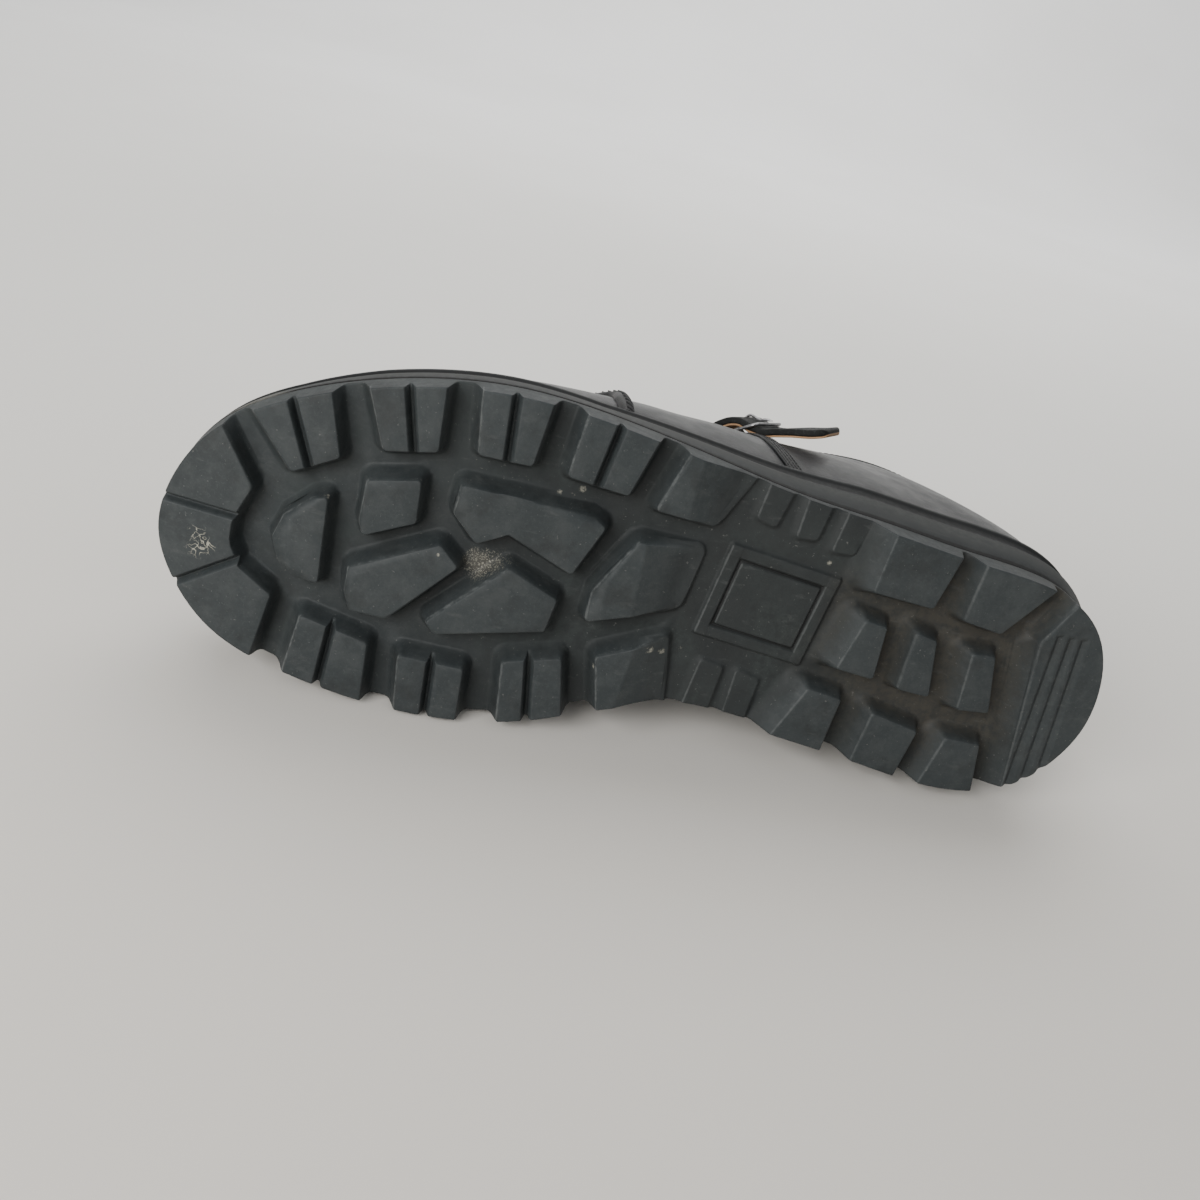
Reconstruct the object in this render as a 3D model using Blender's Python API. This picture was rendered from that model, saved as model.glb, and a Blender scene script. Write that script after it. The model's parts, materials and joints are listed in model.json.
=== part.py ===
"""A left strap sandal with closed toe, sides and heel on a lugged rubber sole, lying on its medial side.

Every shape is worked out in millimetres in the shoe's own frame: x runs from the heel's end to the toe,
y points to the lateral side and z up from the ground under the sole. place() then turns the shoe onto its
medial side, with the toe at -X and the sole facing -Y, and writes metres.
"""

import math

import bmesh
import bpy
import numpy as np
from mathutils import Matrix, Vector
from mathutils.geometry import delaunay_2d_cdt

# Driving sizes, in millimetres.
SOLE_LENGTH = 300.0
GAP = 0.3
LUG_HEIGHT = 7.4
RIB_TOP = 6.2
DRAFT = 1.4
RIB_DRAFT = 0.9
PLATE_DRAFT = 0.6
LUG_BEYOND_EDGE = 9.0
SLOPE_RUN = 14.0
OUTSOLE_TOP = 10.0
TOE_SPRING = 12.2
SPRING_START = 186.5
LIP_WIDTH = 1.3
SEAT_DEPTH = 1.5
SEAT_DRAFT = 0.1
INSOLE_THICKNESS = 3.0
INSOLE_CLEARANCE = 0.6
INSOLE_CHAMFER = (0.8, 0.6)
LEATHER = 2.2
LEATHER_INSET = LIP_WIDTH + 0.9
RIM_BULGE = 0.5
RIM_HEIGHT = 1.0
RIM_ROUND = 0.3
STRAP_WIDTH = 19.0
STRAP_THICKNESS = 3.0
STRAP_CHAMFER = 0.5
PIVOT_X = 121.9
FAR_BAR_X = 111.0
WIRE = 0.6
FRAME_CORNER = 2.0
BAR_CLEARANCE = 0.45
PRONG_WIRE = 0.5
TAB_THICKNESS = 0.7
TAB_WIDTH = 11.0
TAB_CHAMFER = 0.2
SLOT = (9.0, 3.6)
SLOT_AHEAD = 2.8
TAB_SLOT = (11.0, 3.6)
TAB_SLOT_AHEAD = 0.5

# Sections for each row of the outline's table, and along the seams and the strap.
OUTSOLE_STEPS = 4
RAND_STEPS = 3
UPPER_STEPS = 3
APRON_STEPS = 72
QUARTER_STEPS = 22
STRAP_STEPS = 60
SPOT_STEPS = 600
CORNER_STEPS = 4
PRONG_STEPS = 30
TAB_STEPS = 24

# The resting pose on the medial side, in degrees.
LEAN = -4.79
PITCH = -0.53

# The sole's outline, from the heel's end along the lateral side to the toe and back along the medial side.
OUTLINE = (
    # x, y
    (-0.3, 1.0),
    (6.5, 23.5),
    (26.0, 37.8),
    (55.0, 42.6),
    (84.0, 46.9),
    (112.0, 50.8),
    (140.0, 56.8),
    (168.0, 62.6),
    (196.0, 66.2),
    (222.0, 64.7),
    (248.0, 58.2),
    (272.0, 47.5),
    (290.0, 32.0),
    (299.6, 10.0),
    (296.5, -9.0),
    (282.0, -26.5),
    (258.0, -35.8),
    (230.0, -40.4),
    (203.0, -40.6),
    (178.0, -35.8),
    (154.0, -27.3),
    (128.0, -24.9),
    (100.0, -28.4),
    (72.0, -33.3),
    (44.0, -38.0),
    (19.0, -34.2),
    (4.0, -18.5),
)

# The midsole's lip along the shoe: its height over the ground before toe spring, and how far it stands
# outside the sole's outline.
LIP = (
    # x, height, out
    (0.0, 31.0, 3.0),
    (30.0, 31.0, 3.4),
    (50.0, 30.5, 3.9),
    (90.0, 29.0, 3.7),
    (122.0, 27.0, 1.8),
    (155.0, 25.0, 0.2),
    (176.0, 24.1, -0.9),
    (205.0, 23.0, -0.5),
    (240.0, 22.2, -0.4),
    (265.0, 22.0, -1.1),
    (300.0, 22.0, -0.6),
)

# The upper's opening edge and, further down the wall, its shoulder, which steer the wall's curve together
# with how far it swells outwards over the lip. "at" is the place along OUTLINE where the wall starts.
UPPER = (
    # at, edge x, edge y, edge z, shoulder x, shoulder y, shoulder z, swell, rise
    (0.0, 12.0, 1.0, 95.0, 3.5, 1.0, 68.0, 3.0, 20.0),
    (2.0, 36.0, 32.5, 89.0, 28.0, 37.5, 66.0, 2.5, 18.0),
    (3.5, 70.0, 44.2, 82.8, 70.0, 50.3, 62.3, 2.5, 16.0),
    (5.0, 108.0, 43.4, 77.9, 109.0, 55.0, 62.0, 3.2, 14.0),
    (6.5, 148.0, 36.0, 77.0, 149.0, 60.8, 64.2, 4.0, 16.0),
    (8.0, 172.0, 25.0, 81.0, 180.0, 52.0, 70.0, 2.0, 18.0),
    (10.0, 181.0, 17.0, 82.5, 217.5, 38.0, 73.5, 1.0, 20.0),
    (13.3, 184.5, 8.0, 82.5, 240.0, 6.0, 71.5, 1.0, 22.0),
    (16.0, 181.0, -1.0, 82.5, 214.0, -17.0, 73.5, 1.0, 20.0),
    (18.0, 171.0, -8.0, 82.0, 180.0, -27.0, 71.0, 1.5, 18.0),
    (19.7, 150.0, -16.5, 79.0, 153.0, -32.0, 64.0, 4.0, 16.0),
    (21.3, 113.0, -24.0, 79.0, 114.0, -34.0, 61.0, 6.0, 16.0),
    (23.0, 72.0, -29.0, 81.0, 72.0, -38.0, 61.0, 4.0, 18.0),
    (25.0, 32.0, -24.0, 90.0, 27.0, -32.0, 66.0, 3.0, 20.0),
)


# ---------------------------------------------------------------- curves

def periodic_spline(knots, rows, period):
    """A smooth closed curve through the rows, one at each knot, as a function of the place along it."""
    knots = np.asarray(knots, float)
    rows = np.asarray(rows, float)
    count = len(knots)
    steps = np.diff(np.append(knots, knots[0] + period))
    system = np.zeros((count, count))
    right = np.zeros_like(rows)
    for i in range(count):
        before, after = (i - 1) % count, (i + 1) % count
        system[i, before] += steps[before]
        system[i, i] += 2 * (steps[before] + steps[i])
        system[i, after] += steps[i]
        right[i] = 6 * ((rows[after] - rows[i]) / steps[i] - (rows[i] - rows[before]) / steps[before])
    bend = np.linalg.solve(system, right)

    def at(place):
        place = (np.atleast_1d(np.asarray(place, float)) - knots[0]) % period + knots[0]
        i = np.searchsorted(knots, place, side="right") - 1
        j = (i + 1) % count
        step = steps[i][:, None]
        past = (place - knots[i])[:, None]
        left = step - past
        return (
            bend[i] * left**3 / (6 * step)
            + bend[j] * past**3 / (6 * step)
            + (rows[i] / step - bend[i] * step / 6) * left
            + (rows[j] / step - bend[j] * step / 6) * past
        )

    return at


OUTLINE_ROWS = len(OUTLINE)
outline_at = periodic_spline(range(OUTLINE_ROWS), OUTLINE, OUTLINE_ROWS)
upper_at = periodic_spline([row[0] for row in UPPER], [row[1:] for row in UPPER], OUTLINE_ROWS)


def outward_at(place):
    """The outline's outward direction at each place."""
    step = 0.01
    run = outline_at(np.asarray(place) + step) - outline_at(np.asarray(place) - step)
    run /= np.linalg.norm(run, axis=1)[:, None]
    return np.c_[-run[:, 1], run[:, 0]]


def spring(x):
    """How far the toe's end of everything below the foot is lifted at x."""
    past = np.clip((np.asarray(x, float) - SPRING_START) / (SOLE_LENGTH - SPRING_START), 0, None)
    return TOE_SPRING * past**2


def along(table, x, column):
    table = np.asarray(table)
    return np.interp(x, table[:, 0], table[:, column])


def lip_height(x):
    return along(LIP, x, 1) + spring(x)


def seat_height(x):
    """The top of the midsole inside its lip, which carries the upper and the insole."""
    return lip_height(x) - SEAT_DEPTH


# ---------------------------------------------------------------- outsole tables

def lug(name, corners, edge=True, front=DRAFT, top=0.0, draft=DRAFT, split=None, slope=None):
    """One convex lug, by its ground face.

    corners: outer front, outer rear, inner rear, inner front, where edge says that the sole's edge cuts off
    the outer side; a lug in the middle has any number of corners. front is the run of the wall between the
    last corner and the first. split is the line of a narrow groove across it. slope is a line behind which
    the face climbs to the height given last.
    """
    corners = np.array(corners, float)
    if edge:
        for outer, inner in ((0, 3), (1, 2)):
            run = corners[outer] - corners[inner]
            corners[outer] += run / np.linalg.norm(run) * LUG_BEYOND_EDGE
    drafts = np.full(len(corners), draft)
    drafts[-1] = front
    return {"name": name, "corners": corners, "drafts": drafts, "top": top, "split": split, "slope": slope}


def rib(name, corners):
    """One of the waist's narrow lugs, whose face is a little higher and whose walls are steeper."""
    return lug(name, corners, front=DRAFT, top=RIB_TOP, draft=RIB_DRAFT)


LATERAL = (
    lug("lateral_1", ((275.2, 46.0), (253.2, 56.0), (248.7, 37.5), (262.3, 30.0)), front=3.0,
        split=((264.3, 51.5), (257.3, 32.8))),
    lug("lateral_2", ((243.3, 60.0), (222.0, 64.3), (221.6, 45.3), (237.2, 42.4)), front=2.2,
        split=((232.3, 62.0), (228.6, 44.2))),
    lug("lateral_3", ((212.3, 65.8), (192.0, 66.0), (194.6, 46.7), (210.6, 47.0)), front=1.8,
        split=((202.7, 66.0), (202.0, 46.9))),
    lug("lateral_4", ((182.0, 64.5), (160.4, 61.0), (165.6, 43.2), (184.2, 45.6)), front=1.8,
        split=((172.2, 62.5), (175.2, 44.4))),
    lug("lateral_5", ((150.6, 59.3), (130.0, 55.0), (137.6, 38.4), (156.6, 40.4)), front=1.8,
        slope=((146.2, 62.0), (147.2, 36.0), 6.0)),
    lug("lateral_heel_1", ((83.2, 47.0), (60.6, 43.7), (64.2, 25.0), (84.6, 27.0)), front=8.0),
    lug("lateral_heel_2", ((52.4, 42.3), (27.6, 38.2), (40.0, 20.5), (53.4, 22.8)), front=3.6),
)
LATERAL_RIBS = (
    rib("lateral_rib_1", ((123.7, 53.0), (116.0, 51.8), (118.6, 40.0), (125.0, 41.8))),
    rib("lateral_rib_2", ((110.9, 50.0), (103.3, 49.0), (104.8, 38.2), (111.4, 38.0))),
    rib("lateral_rib_3", ((97.7, 48.4), (89.8, 47.4), (92.0, 35.7), (99.2, 35.5))),
)
MEDIAL = (
    lug("medial_1", ((258.6, -35.3), (233.4, -40.2), (233.6, -19.2), (255.0, -14.6)), front=2.4,
        split=((247.4, -37.8), (245.2, -16.4))),
    lug("medial_2", ((222.8, -41.2), (203.0, -41.5), (203.4, -22.0), (224.0, -21.2)), front=1.8,
        split=((213.2, -41.2), (213.6, -21.6))),
    lug("medial_3", ((190.4, -38.6), (170.4, -33.2), (174.2, -12.6), (192.2, -17.0)), front=1.8,
        split=((181.4, -35.8), (184.2, -14.8))),
    lug("medial_4", ((160.0, -29.2), (140.0, -23.6), (143.2, -1.0), (164.0, -10.2)), front=2.2,
        slope=((155.4, -32.0), (152.4, -2.0), 6.0)),
    lug("medial_heel_1", ((102.4, -28.2), (84.4, -31.3), (83.0, -11.0), (94.8, -9.0)), front=6.5),
    lug("medial_heel_2", ((73.4, -33.0), (57.2, -36.4), (54.5, -18.2), (71.4, -14.0)), front=4.6),
    lug("medial_heel_3", ((48.0, -37.5), (28.8, -37.4), (32.2, -19.2), (44.4, -18.8)), front=4.6),
)
MEDIAL_RIBS = (
    rib("medial_rib_1", ((131.8, -24.0), (123.2, -24.0), (122.1, -9.7), (129.8, -8.2))),
    rib("medial_rib_2", ((118.0, -24.5), (110.4, -25.5), (109.4, -12.2), (117.5, -9.7))),
)
CENTRE = (
    lug("front_1", ((250.8, 25.0), (250.8, -3.0), (258.2, -3.0), (263.8, 1.4), (266.2, 8.6), (263.4, 16.6),
                    (255.4, 24.2)), edge=False),
    lug("front_2", ((225.0, 36.4), (224.6, 22.6), (239.6, 15.4), (241.6, 19.4), (240.6, 33.0)), edge=False),
    lug("front_3", ((242.8, 4.6), (216.8, 17.8), (210.4, 11.4), (229.4, -10.4), (240.8, -9.6), (243.2, -4.0)),
        edge=False),
    lug("front_4", ((197.9, 24.5), (206.8, 19.8), (214.8, 28.0), (213.6, 37.5), (192.0, 36.6)), edge=False),
    lug("front_4_rear", ((203.0, 37.1), (174.0, 35.4), (169.8, 32.3), (177.0, 15.4), (203.0, 27.0)),
        edge=False),
    lug("front_5", ((195.8, 14.4), (179.4, 6.8), (181.2, -4.8), (214.4, -12.2), (217.8, -8.3)), edge=False),
    lug("front_6", ((159.6, 30.0), (139.6, 28.8), (142.0, 9.4), (169.8, 0.9), (170.0, 11.4)), edge=False,
        slope=((157.0, 34.0), (156.4, 0.0), 5.6)),
    lug("heel_1", ((83.8, 17.6), (76.4, 16.6), (75.2, -2.4), (88.2, -0.8)), edge=False, front=7.0),
    lug("heel_2", ((66.6, 16.6), (59.2, 14.8), (55.2, -5.4), (66.6, -4.4)), edge=False, front=2.6),
    lug("heel_3", ((46.4, 12.6), (38.7, 13.0), (33.6, -7.6), (44.6, -8.2)), edge=False, front=5.0),
)
ENDS = (
    lug("toe_lateral", ((290.0, 50.1), (272.6, 22.8), (296.5, -29.6), (325.0, -30.0), (325.0, 50.0)),
        edge=False),
    lug("toe_centre", ((277.2, 24.0), (279.5, -22.0), (320.0, -22.0), (320.0, 24.0)), edge=False),
    lug("toe_centre_side", ((282.9, 14.0), (274.6, -3.6), (280.0, -30.0), (320.0, -30.0), (320.0, 14.0)),
        edge=False),
    lug("toe_medial", ((264.3, -10.2), (271.5, -45.0), (320.0, -45.0), (320.0, 25.5)), edge=False),
    lug("heel_back", ((26.4, 20.4), (16.0, 41.0), (-12.0, 41.0), (-12.0, -45.0), (17.4, -45.0)), edge=False,
        front=6.5),
)
LUGS = LATERAL + LATERAL_RIBS + MEDIAL + MEDIAL_RIBS + CENTRE + ENDS

# The label plate stays bare: a raised inner plate within a raised frame.
PLATE = {"x": 114.0, "y": 14.0, "turn": 8.4, "length": 36.5, "width": 31.5, "frame": 3.4, "channel": 1.6}

GROOVES = (
    # from x, from y, to x, to y, half width of the floor, run of a side, depth
    (303.0, 13.6, 272.0, 12.2, 0.4, 0.7, 2.4),
    (299.0, -17.0, 271.0, 2.0, 0.4, 0.7, 2.4),
    (20.8, 23.0, 17.2, -40.0, 0.3, 0.9, 1.1),
    (16.7, 23.0, 12.3, -40.0, 0.3, 0.9, 1.1),
    (12.5, 23.0, 7.6, -36.0, 0.3, 0.9, 1.1),
)
SPLIT_GROOVE = (0.5, 0.7, 3.6)
SPLIT_REACH = 3.0


# ---------------------------------------------------------------- outsole shape

def cell(corners, drafts):
    """A convex polygon whose foot lies outside it by each edge's draft: its edges as lines, and its foot."""
    corners = np.asarray(corners, float)
    following = np.roll(corners, -1, axis=0)
    run = following - corners
    area = np.sum(corners[:, 0] * following[:, 1] - following[:, 0] * corners[:, 1])
    normals = np.c_[run[:, 1], -run[:, 0]] * math.copysign(1, area)
    normals /= np.linalg.norm(normals, axis=1)[:, None]
    offsets = np.sum(normals * corners, axis=1)
    drafts = np.asarray(drafts)
    out = offsets + drafts
    foot = np.array([
        np.linalg.solve((normals[i - 1], normals[i]), (out[i - 1], out[i])) for i in range(len(corners))
    ])
    return {"corners": corners, "foot": foot, "normals": normals, "offsets": offsets, "drafts": drafts}


def fall(shape, points):
    """0 over the cell's face and 1 at its foot and beyond, linear in between."""
    out = points @ shape["normals"].T - shape["offsets"]
    return np.clip((out / shape["drafts"]).max(axis=1), 0, 1)


def groove_cell(start, end, half, side):
    start, end = np.array(start, float), np.array(end, float)
    run = (end - start) / np.linalg.norm(end - start)
    across = np.array((-run[1], run[0])) * half
    return cell((start - across, end - across, end + across, start + across), (side,) * 4)


def plate_lugs():
    """The label plate's four frame bars and its inner plate."""
    turn = math.radians(PLATE["turn"])
    long_way = np.array((-math.cos(turn), -math.sin(turn)))
    wide_way = np.array((math.sin(turn), -math.cos(turn)))
    half = np.array((PLATE["length"], PLATE["width"])) / 2
    inside = half - PLATE["frame"]
    inner = inside - PLATE["channel"]

    def rectangle(low, high):
        spots = ((low[0], low[1]), (high[0], low[1]), (high[0], high[1]), (low[0], high[1]))
        return [np.array((PLATE["x"], PLATE["y"])) + long_way * a + wide_way * b for a, b in spots]

    boxes = (
        (-half, (-inside[0], half[1])),
        ((inside[0], -half[1]), half),
        (-half, (half[0], -inside[1])),
        ((-half[0], inside[1]), half),
        (-inner, inner),
    )
    shape = {"edge": False, "front": PLATE_DRAFT, "top": RIB_TOP, "draft": PLATE_DRAFT}
    return [lug("plate", rectangle(low, high), **shape) for low, high in boxes]


def outsole_cells():
    lugs, grooves = [], []
    for row in LUGS + tuple(plate_lugs()):
        lugs.append((cell(row["corners"], row["drafts"]), row["top"], row["slope"]))
        if row["split"]:
            start, end = (np.array(point) for point in row["split"])
            run = (end - start) / np.linalg.norm(end - start) * SPLIT_REACH
            half, side, depth = SPLIT_GROOVE
            grooves.append((groove_cell(start - run, end + run, half, side), depth))
    for from_x, from_y, to_x, to_y, half, side, depth in GROOVES:
        grooves.append((groove_cell((from_x, from_y), (to_x, to_y), half, side), depth))
    return lugs, grooves


def slope_height(slope, points):
    """The height of a face that climbs behind the slope's line, by 1 in SLOPE_RUN."""
    (ax, ay), (bx, by), climb = slope
    along_line = np.array((bx - ax, by - ay)) / math.hypot(bx - ax, by - ay)
    behind = (points[:, 0] - ax) * along_line[1] - (points[:, 1] - ay) * along_line[0]
    behind *= -math.copysign(1, along_line[1])
    return np.clip(behind * climb / SLOPE_RUN, 0, climb)


def tread_height(points, lugs, grooves):
    """The height of the tread over the ground at each point, before toe spring."""
    height = np.full(len(points), LUG_HEIGHT)
    for shape, top, slope in lugs:
        one = top + (LUG_HEIGHT - top) * fall(shape, points)
        if slope:
            one = np.maximum(one, np.minimum(slope_height(slope, points), LUG_HEIGHT))
        height = np.minimum(height, one)
    for shape, depth in grooves:
        height = np.maximum(height, depth * (1 - fall(shape, points)))
    return height


def tread_lines(outline, lugs, grooves):
    """Points and edges that the tread's triangles keep: the outline, faces, feet, corners and creases."""
    points, edges = list(map(tuple, outline)), []
    edges += [(i, (i + 1) % len(outline)) for i in range(len(outline))]

    def add(corners, closed=True):
        first, count = len(points), len(corners)
        points.extend(map(tuple, corners))
        edges.extend((first + i, first + (i + 1) % count) for i in range(count if closed else count - 1))
        return first

    for shape, *rest in lugs + grooves:
        face, foot = add(shape["corners"]), add(shape["foot"])
        edges.extend((face + i, foot + i) for i in range(len(shape["corners"])))
        if len(rest) == 2 and rest[1]:
            add(rest[1][:2], closed=False)
    return points, edges


def inside(points, polygon):
    """Which points lie inside the polygon, by counting the edges that a ray crosses."""
    x, y = points[:, 0][:, None], points[:, 1][:, None]
    x0, y0 = polygon[:, 0], polygon[:, 1]
    x1, y1 = np.roll(x0, -1), np.roll(y0, -1)
    spans = (y0 > y) != (y1 > y)
    crossing = x0 + (y - y0) * (x1 - x0) / np.where(y1 == y0, 1e-12, y1 - y0)
    return (np.sum(spans & (x < crossing), axis=1) % 2).astype(bool)


def triangulate(points, edges, outline):
    vectors = [Vector(point) for point in points]
    found, _, faces, *_ = delaunay_2d_cdt(vectors, edges, [], 0, 1e-4)
    found = np.array([tuple(vector) for vector in found])
    faces = np.array(faces)
    middles = found[faces].mean(axis=1)
    faces = faces[inside(middles, outline)]
    used, index = np.unique(faces, return_inverse=True)
    return found[used], index.reshape(faces.shape)


def rim_of(faces):
    """The boundary vertices of a triangle sheet, in order."""
    following = {}
    edges = {(a, b) for face in faces for a, b in zip(face, np.roll(face, -1))}
    for a, b in edges:
        if (b, a) not in edges:
            following[a] = b
    start = min(following)
    ring = [start]
    while following[ring[-1]] != start:
        ring.append(following[ring[-1]])
    assert len(ring) == len(following), "the sheet's edge is not one loop"
    return ring


def cap(ring):
    """Triangles over a closed loop of points in plan, as places in the loop."""
    count = len(ring)
    edges = [(i, (i + 1) % count) for i in range(count)]
    found, _, faces, origins, *_ = delaunay_2d_cdt([Vector(point) for point in ring], edges, [], 0, 1e-5)
    found = np.array([tuple(vector) for vector in found])
    faces = np.array(faces)
    faces = faces[inside(found[faces].mean(axis=1), np.asarray(ring))]
    return [[origins[corner][0] for corner in face] for face in faces]


# ---------------------------------------------------------------- objects

def finish(color, roughness, metallic=0.0):
    return {"color": color, "roughness": roughness, "metallic": metallic}


RUBBER = finish((0.035, 0.037, 0.036, 1), 0.62)
RAND_RUBBER = finish((0.028, 0.029, 0.029, 1), 0.48)
BLACK_LEATHER = finish((0.018, 0.018, 0.020, 1), 0.38)
TAN_LEATHER = finish((0.42, 0.27, 0.15, 1), 0.6)
GUNMETAL = finish((0.30, 0.30, 0.31, 1), 0.32, 1.0)

ROOT = None


def make_object(name, points, faces, look, sharp=35.0):
    """One object under the shoe's root, from points in millimetres in the shoe's frame."""
    mesh = bpy.data.meshes.new(name)
    metres = np.asarray(points, float) / 1000
    mesh.from_pydata(metres.tolist(), [], [list(map(int, face)) for face in faces])
    work = bmesh.new()
    work.from_mesh(mesh)
    bmesh.ops.remove_doubles(work, verts=work.verts, dist=2e-6)
    bmesh.ops.dissolve_degenerate(work, edges=work.edges, dist=1e-6)
    bmesh.ops.triangulate(work, faces=[face for face in work.faces if len(face.verts) > 4])
    bmesh.ops.recalc_face_normals(work, faces=work.faces)
    work.to_mesh(mesh)
    work.free()
    mesh.shade_smooth()
    mesh.set_sharp_from_angle(angle=math.radians(sharp))
    material = bpy.data.materials.new(name)
    material.use_nodes = True
    shader = material.node_tree.nodes["Principled BSDF"]
    shader.inputs["Base Color"].default_value = look["color"]
    shader.inputs["Roughness"].default_value = look["roughness"]
    shader.inputs["Metallic"].default_value = look["metallic"]
    mesh.materials.append(material)
    obj = bpy.data.objects.new(name, mesh)
    bpy.context.scene.collection.objects.link(obj)
    obj.parent = ROOT
    return obj


def cut_away(obj, points, faces):
    """Cuts a closed shape, given in millimetres, from an object."""
    cutter = make_object(obj.name + "_cutter", points, faces, RUBBER)
    cutter.hide_render = True
    cutter.display_type = "WIRE"
    modifier = obj.modifiers.new("slot", "BOOLEAN")
    modifier.operation = "DIFFERENCE"
    modifier.object = cutter


def ring_faces(first, second, count):
    """Quads between two closed rings of points, given by their first places."""
    return [
        (first + i, first + (i + 1) % count, second + (i + 1) % count, second + i) for i in range(count)
    ]


def build_outsole():
    around = np.arange(0, OUTLINE_ROWS, 1 / OUTSOLE_STEPS)
    outline = outline_at(around)
    lugs, grooves = outsole_cells()
    points, edges = tread_lines(outline, lugs, grooves)
    plan, faces = triangulate(points, edges, outline)
    tread = tread_height(plan, lugs, grooves) + spring(plan[:, 0])
    rim = rim_of(faces)
    upper_rim = np.c_[plan[rim], OUTSOLE_TOP + spring(plan[rim][:, 0])]
    vertices = np.vstack((np.c_[plan, tread], upper_rim))
    count, first = len(rim), len(plan)
    sides = [(rim[i], rim[(i + 1) % count], first + (i + 1) % count, first + i) for i in range(count)]
    top = [[first + corner for corner in face] for face in cap(plan[rim])]
    make_object("outsole", vertices, faces.tolist() + sides + top, RUBBER)


def offset_ring(around, out, height):
    """The outline moved outwards by out at each place, at the given heights."""
    flat = outline_at(around)
    flat = flat + outward_at(around) * np.broadcast_to(out, len(around))[:, None]
    return np.c_[flat, height(flat[:, 0])]


def lip_out(around):
    return along(LIP, outline_at(around)[:, 0], 2)


RAND_PROFILE = (
    # height as a part of the rand, share of the lip's stand-out, further out in millimetres
    (0.00, 0.0, -0.7),
    (0.04, 0.0, 0.0),
    (0.25, 0.35, 0.2),
    (0.48, 0.75, 0.2),
    (0.60, 0.80, -0.6),
    (0.72, 0.85, -0.9),
    (0.84, 0.95, -0.6),
    (0.93, 1.00, 0.0),
    (1.00, 1.00, -0.3),
)


def build_midsole():
    around = np.arange(0, OUTLINE_ROWS, 1 / RAND_STEPS)
    count = len(around)
    out = lip_out(around)
    rings = []
    for part, share, extra in RAND_PROFILE:
        def height(x, part=part):
            low = OUTSOLE_TOP + GAP + spring(x)
            return low + part * (lip_height(x) - low)
        rings.append(offset_ring(around, share * out + extra, height))
    rings.append(offset_ring(around, out - LIP_WIDTH, lip_height))
    rings.append(offset_ring(around, out - LIP_WIDTH - SEAT_DRAFT, seat_height))
    vertices = np.vstack(rings)
    faces = []
    for i in range(len(rings) - 1):
        faces += ring_faces(i * count, (i + 1) * count, count)
    faces += cap(rings[0][:, :2])
    last = (len(rings) - 1) * count
    faces += [[last + corner for corner in face] for face in cap(rings[-1][:, :2])]
    make_object("midsole", vertices, faces, RAND_RUBBER)


# ---------------------------------------------------------------- upper

def upper_point(place, height):
    """The upper's outer side: place runs around the outline, height from 0 at the lip to 1 at the opening."""
    place = np.atleast_1d(np.asarray(place, float))
    height = np.broadcast_to(np.asarray(height, float), place.shape)[:, None]
    values = upper_at(place)
    edge, shoulder, swell, rise = values[:, 0:3], values[:, 3:6], values[:, 6:7], values[:, 7:8]
    outward = outward_at(place)
    foot = outline_at(place) + outward * (lip_out(place) - LEATHER_INSET)[:, None]
    foot = np.c_[foot, seat_height(foot[:, 0]) + GAP]
    wall = foot + np.c_[outward * swell, rise]
    left = 1 - height
    return (
        foot * left**3 + wall * 3 * left**2 * height + shoulder * 3 * left * height**2 + edge * height**3
    )


def upper_normal(place, height):
    """The direction out of the upper at each spot."""
    step = 0.004
    place = np.atleast_1d(np.asarray(place, float))
    height = np.broadcast_to(np.asarray(height, float), place.shape)
    low, high = np.clip(height - step, 0, 1), np.clip(height + step, 0, 1)
    around = upper_point(place + 0.02, height) - upper_point(place - 0.02, height)
    upward = upper_point(place, high) - upper_point(place, low)
    normal = np.cross(upward, around)
    return normal / np.linalg.norm(normal, axis=1)[:, None]


UPPER_HEIGHTS = (0.0, 0.06, 0.14, 0.23, 0.33, 0.44, 0.55, 0.66, 0.77, 0.88, 0.96, 1.0)
INNER_HEIGHTS = (1.0, 0.9, 0.74, 0.58, 0.42, 0.26, 0.12, 0.0)


def build_upper():
    """A hollow wall from the lip to the opening, with a rolled edge around the opening."""
    around = np.arange(0, OUTLINE_ROWS, 1 / UPPER_STEPS)
    count = len(around)
    rings = [upper_point(around, height) for height in UPPER_HEIGHTS]
    rim_normal = upper_normal(around, 1.0)
    rim_up = upper_point(around, 1.0) - upper_point(around, 0.97)
    rim_up /= np.linalg.norm(rim_up, axis=1)[:, None]
    rings[-1] = rings[-1] + rim_normal * RIM_BULGE
    for inward in (RIM_ROUND, LEATHER - RIM_ROUND):
        rings.append(upper_point(around, 1.0) + rim_up * RIM_HEIGHT - rim_normal * inward)
    for height in INNER_HEIGHTS:
        rings.append(upper_point(around, height) - upper_normal(around, height) * LEATHER)
    rings[-1][:, 2] = rings[0][:, 2]
    vertices = np.vstack(rings)
    faces = []
    for i in range(len(rings)):
        faces += ring_faces(i * count, (i + 1) % len(rings) * count, count)
    make_object("upper", vertices, faces, BLACK_LEATHER, sharp=50.0)


def build_insole():
    around = np.arange(0, OUTLINE_ROWS, 1 / RAND_STEPS)
    count = len(around)
    inset = lip_out(around) - LEATHER_INSET - LEATHER - INSOLE_CLEARANCE
    chamfer_in, chamfer_down = INSOLE_CHAMFER
    levels = ((0.0, 0.0), (0.0, INSOLE_THICKNESS - chamfer_down), (-chamfer_in, INSOLE_THICKNESS))
    rings = [
        offset_ring(around, inset + out, lambda x, up=up: seat_height(x) + GAP + up) for out, up in levels
    ]
    faces = ring_faces(0, count, count) + ring_faces(count, 2 * count, count)
    faces += cap(rings[0][:, :2])
    faces += [[2 * count + corner for corner in face] for face in cap(rings[2][:, :2])]
    make_object("insole", np.vstack(rings), faces, TAN_LEATHER)


# ---------------------------------------------------------------- seams on the upper

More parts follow.
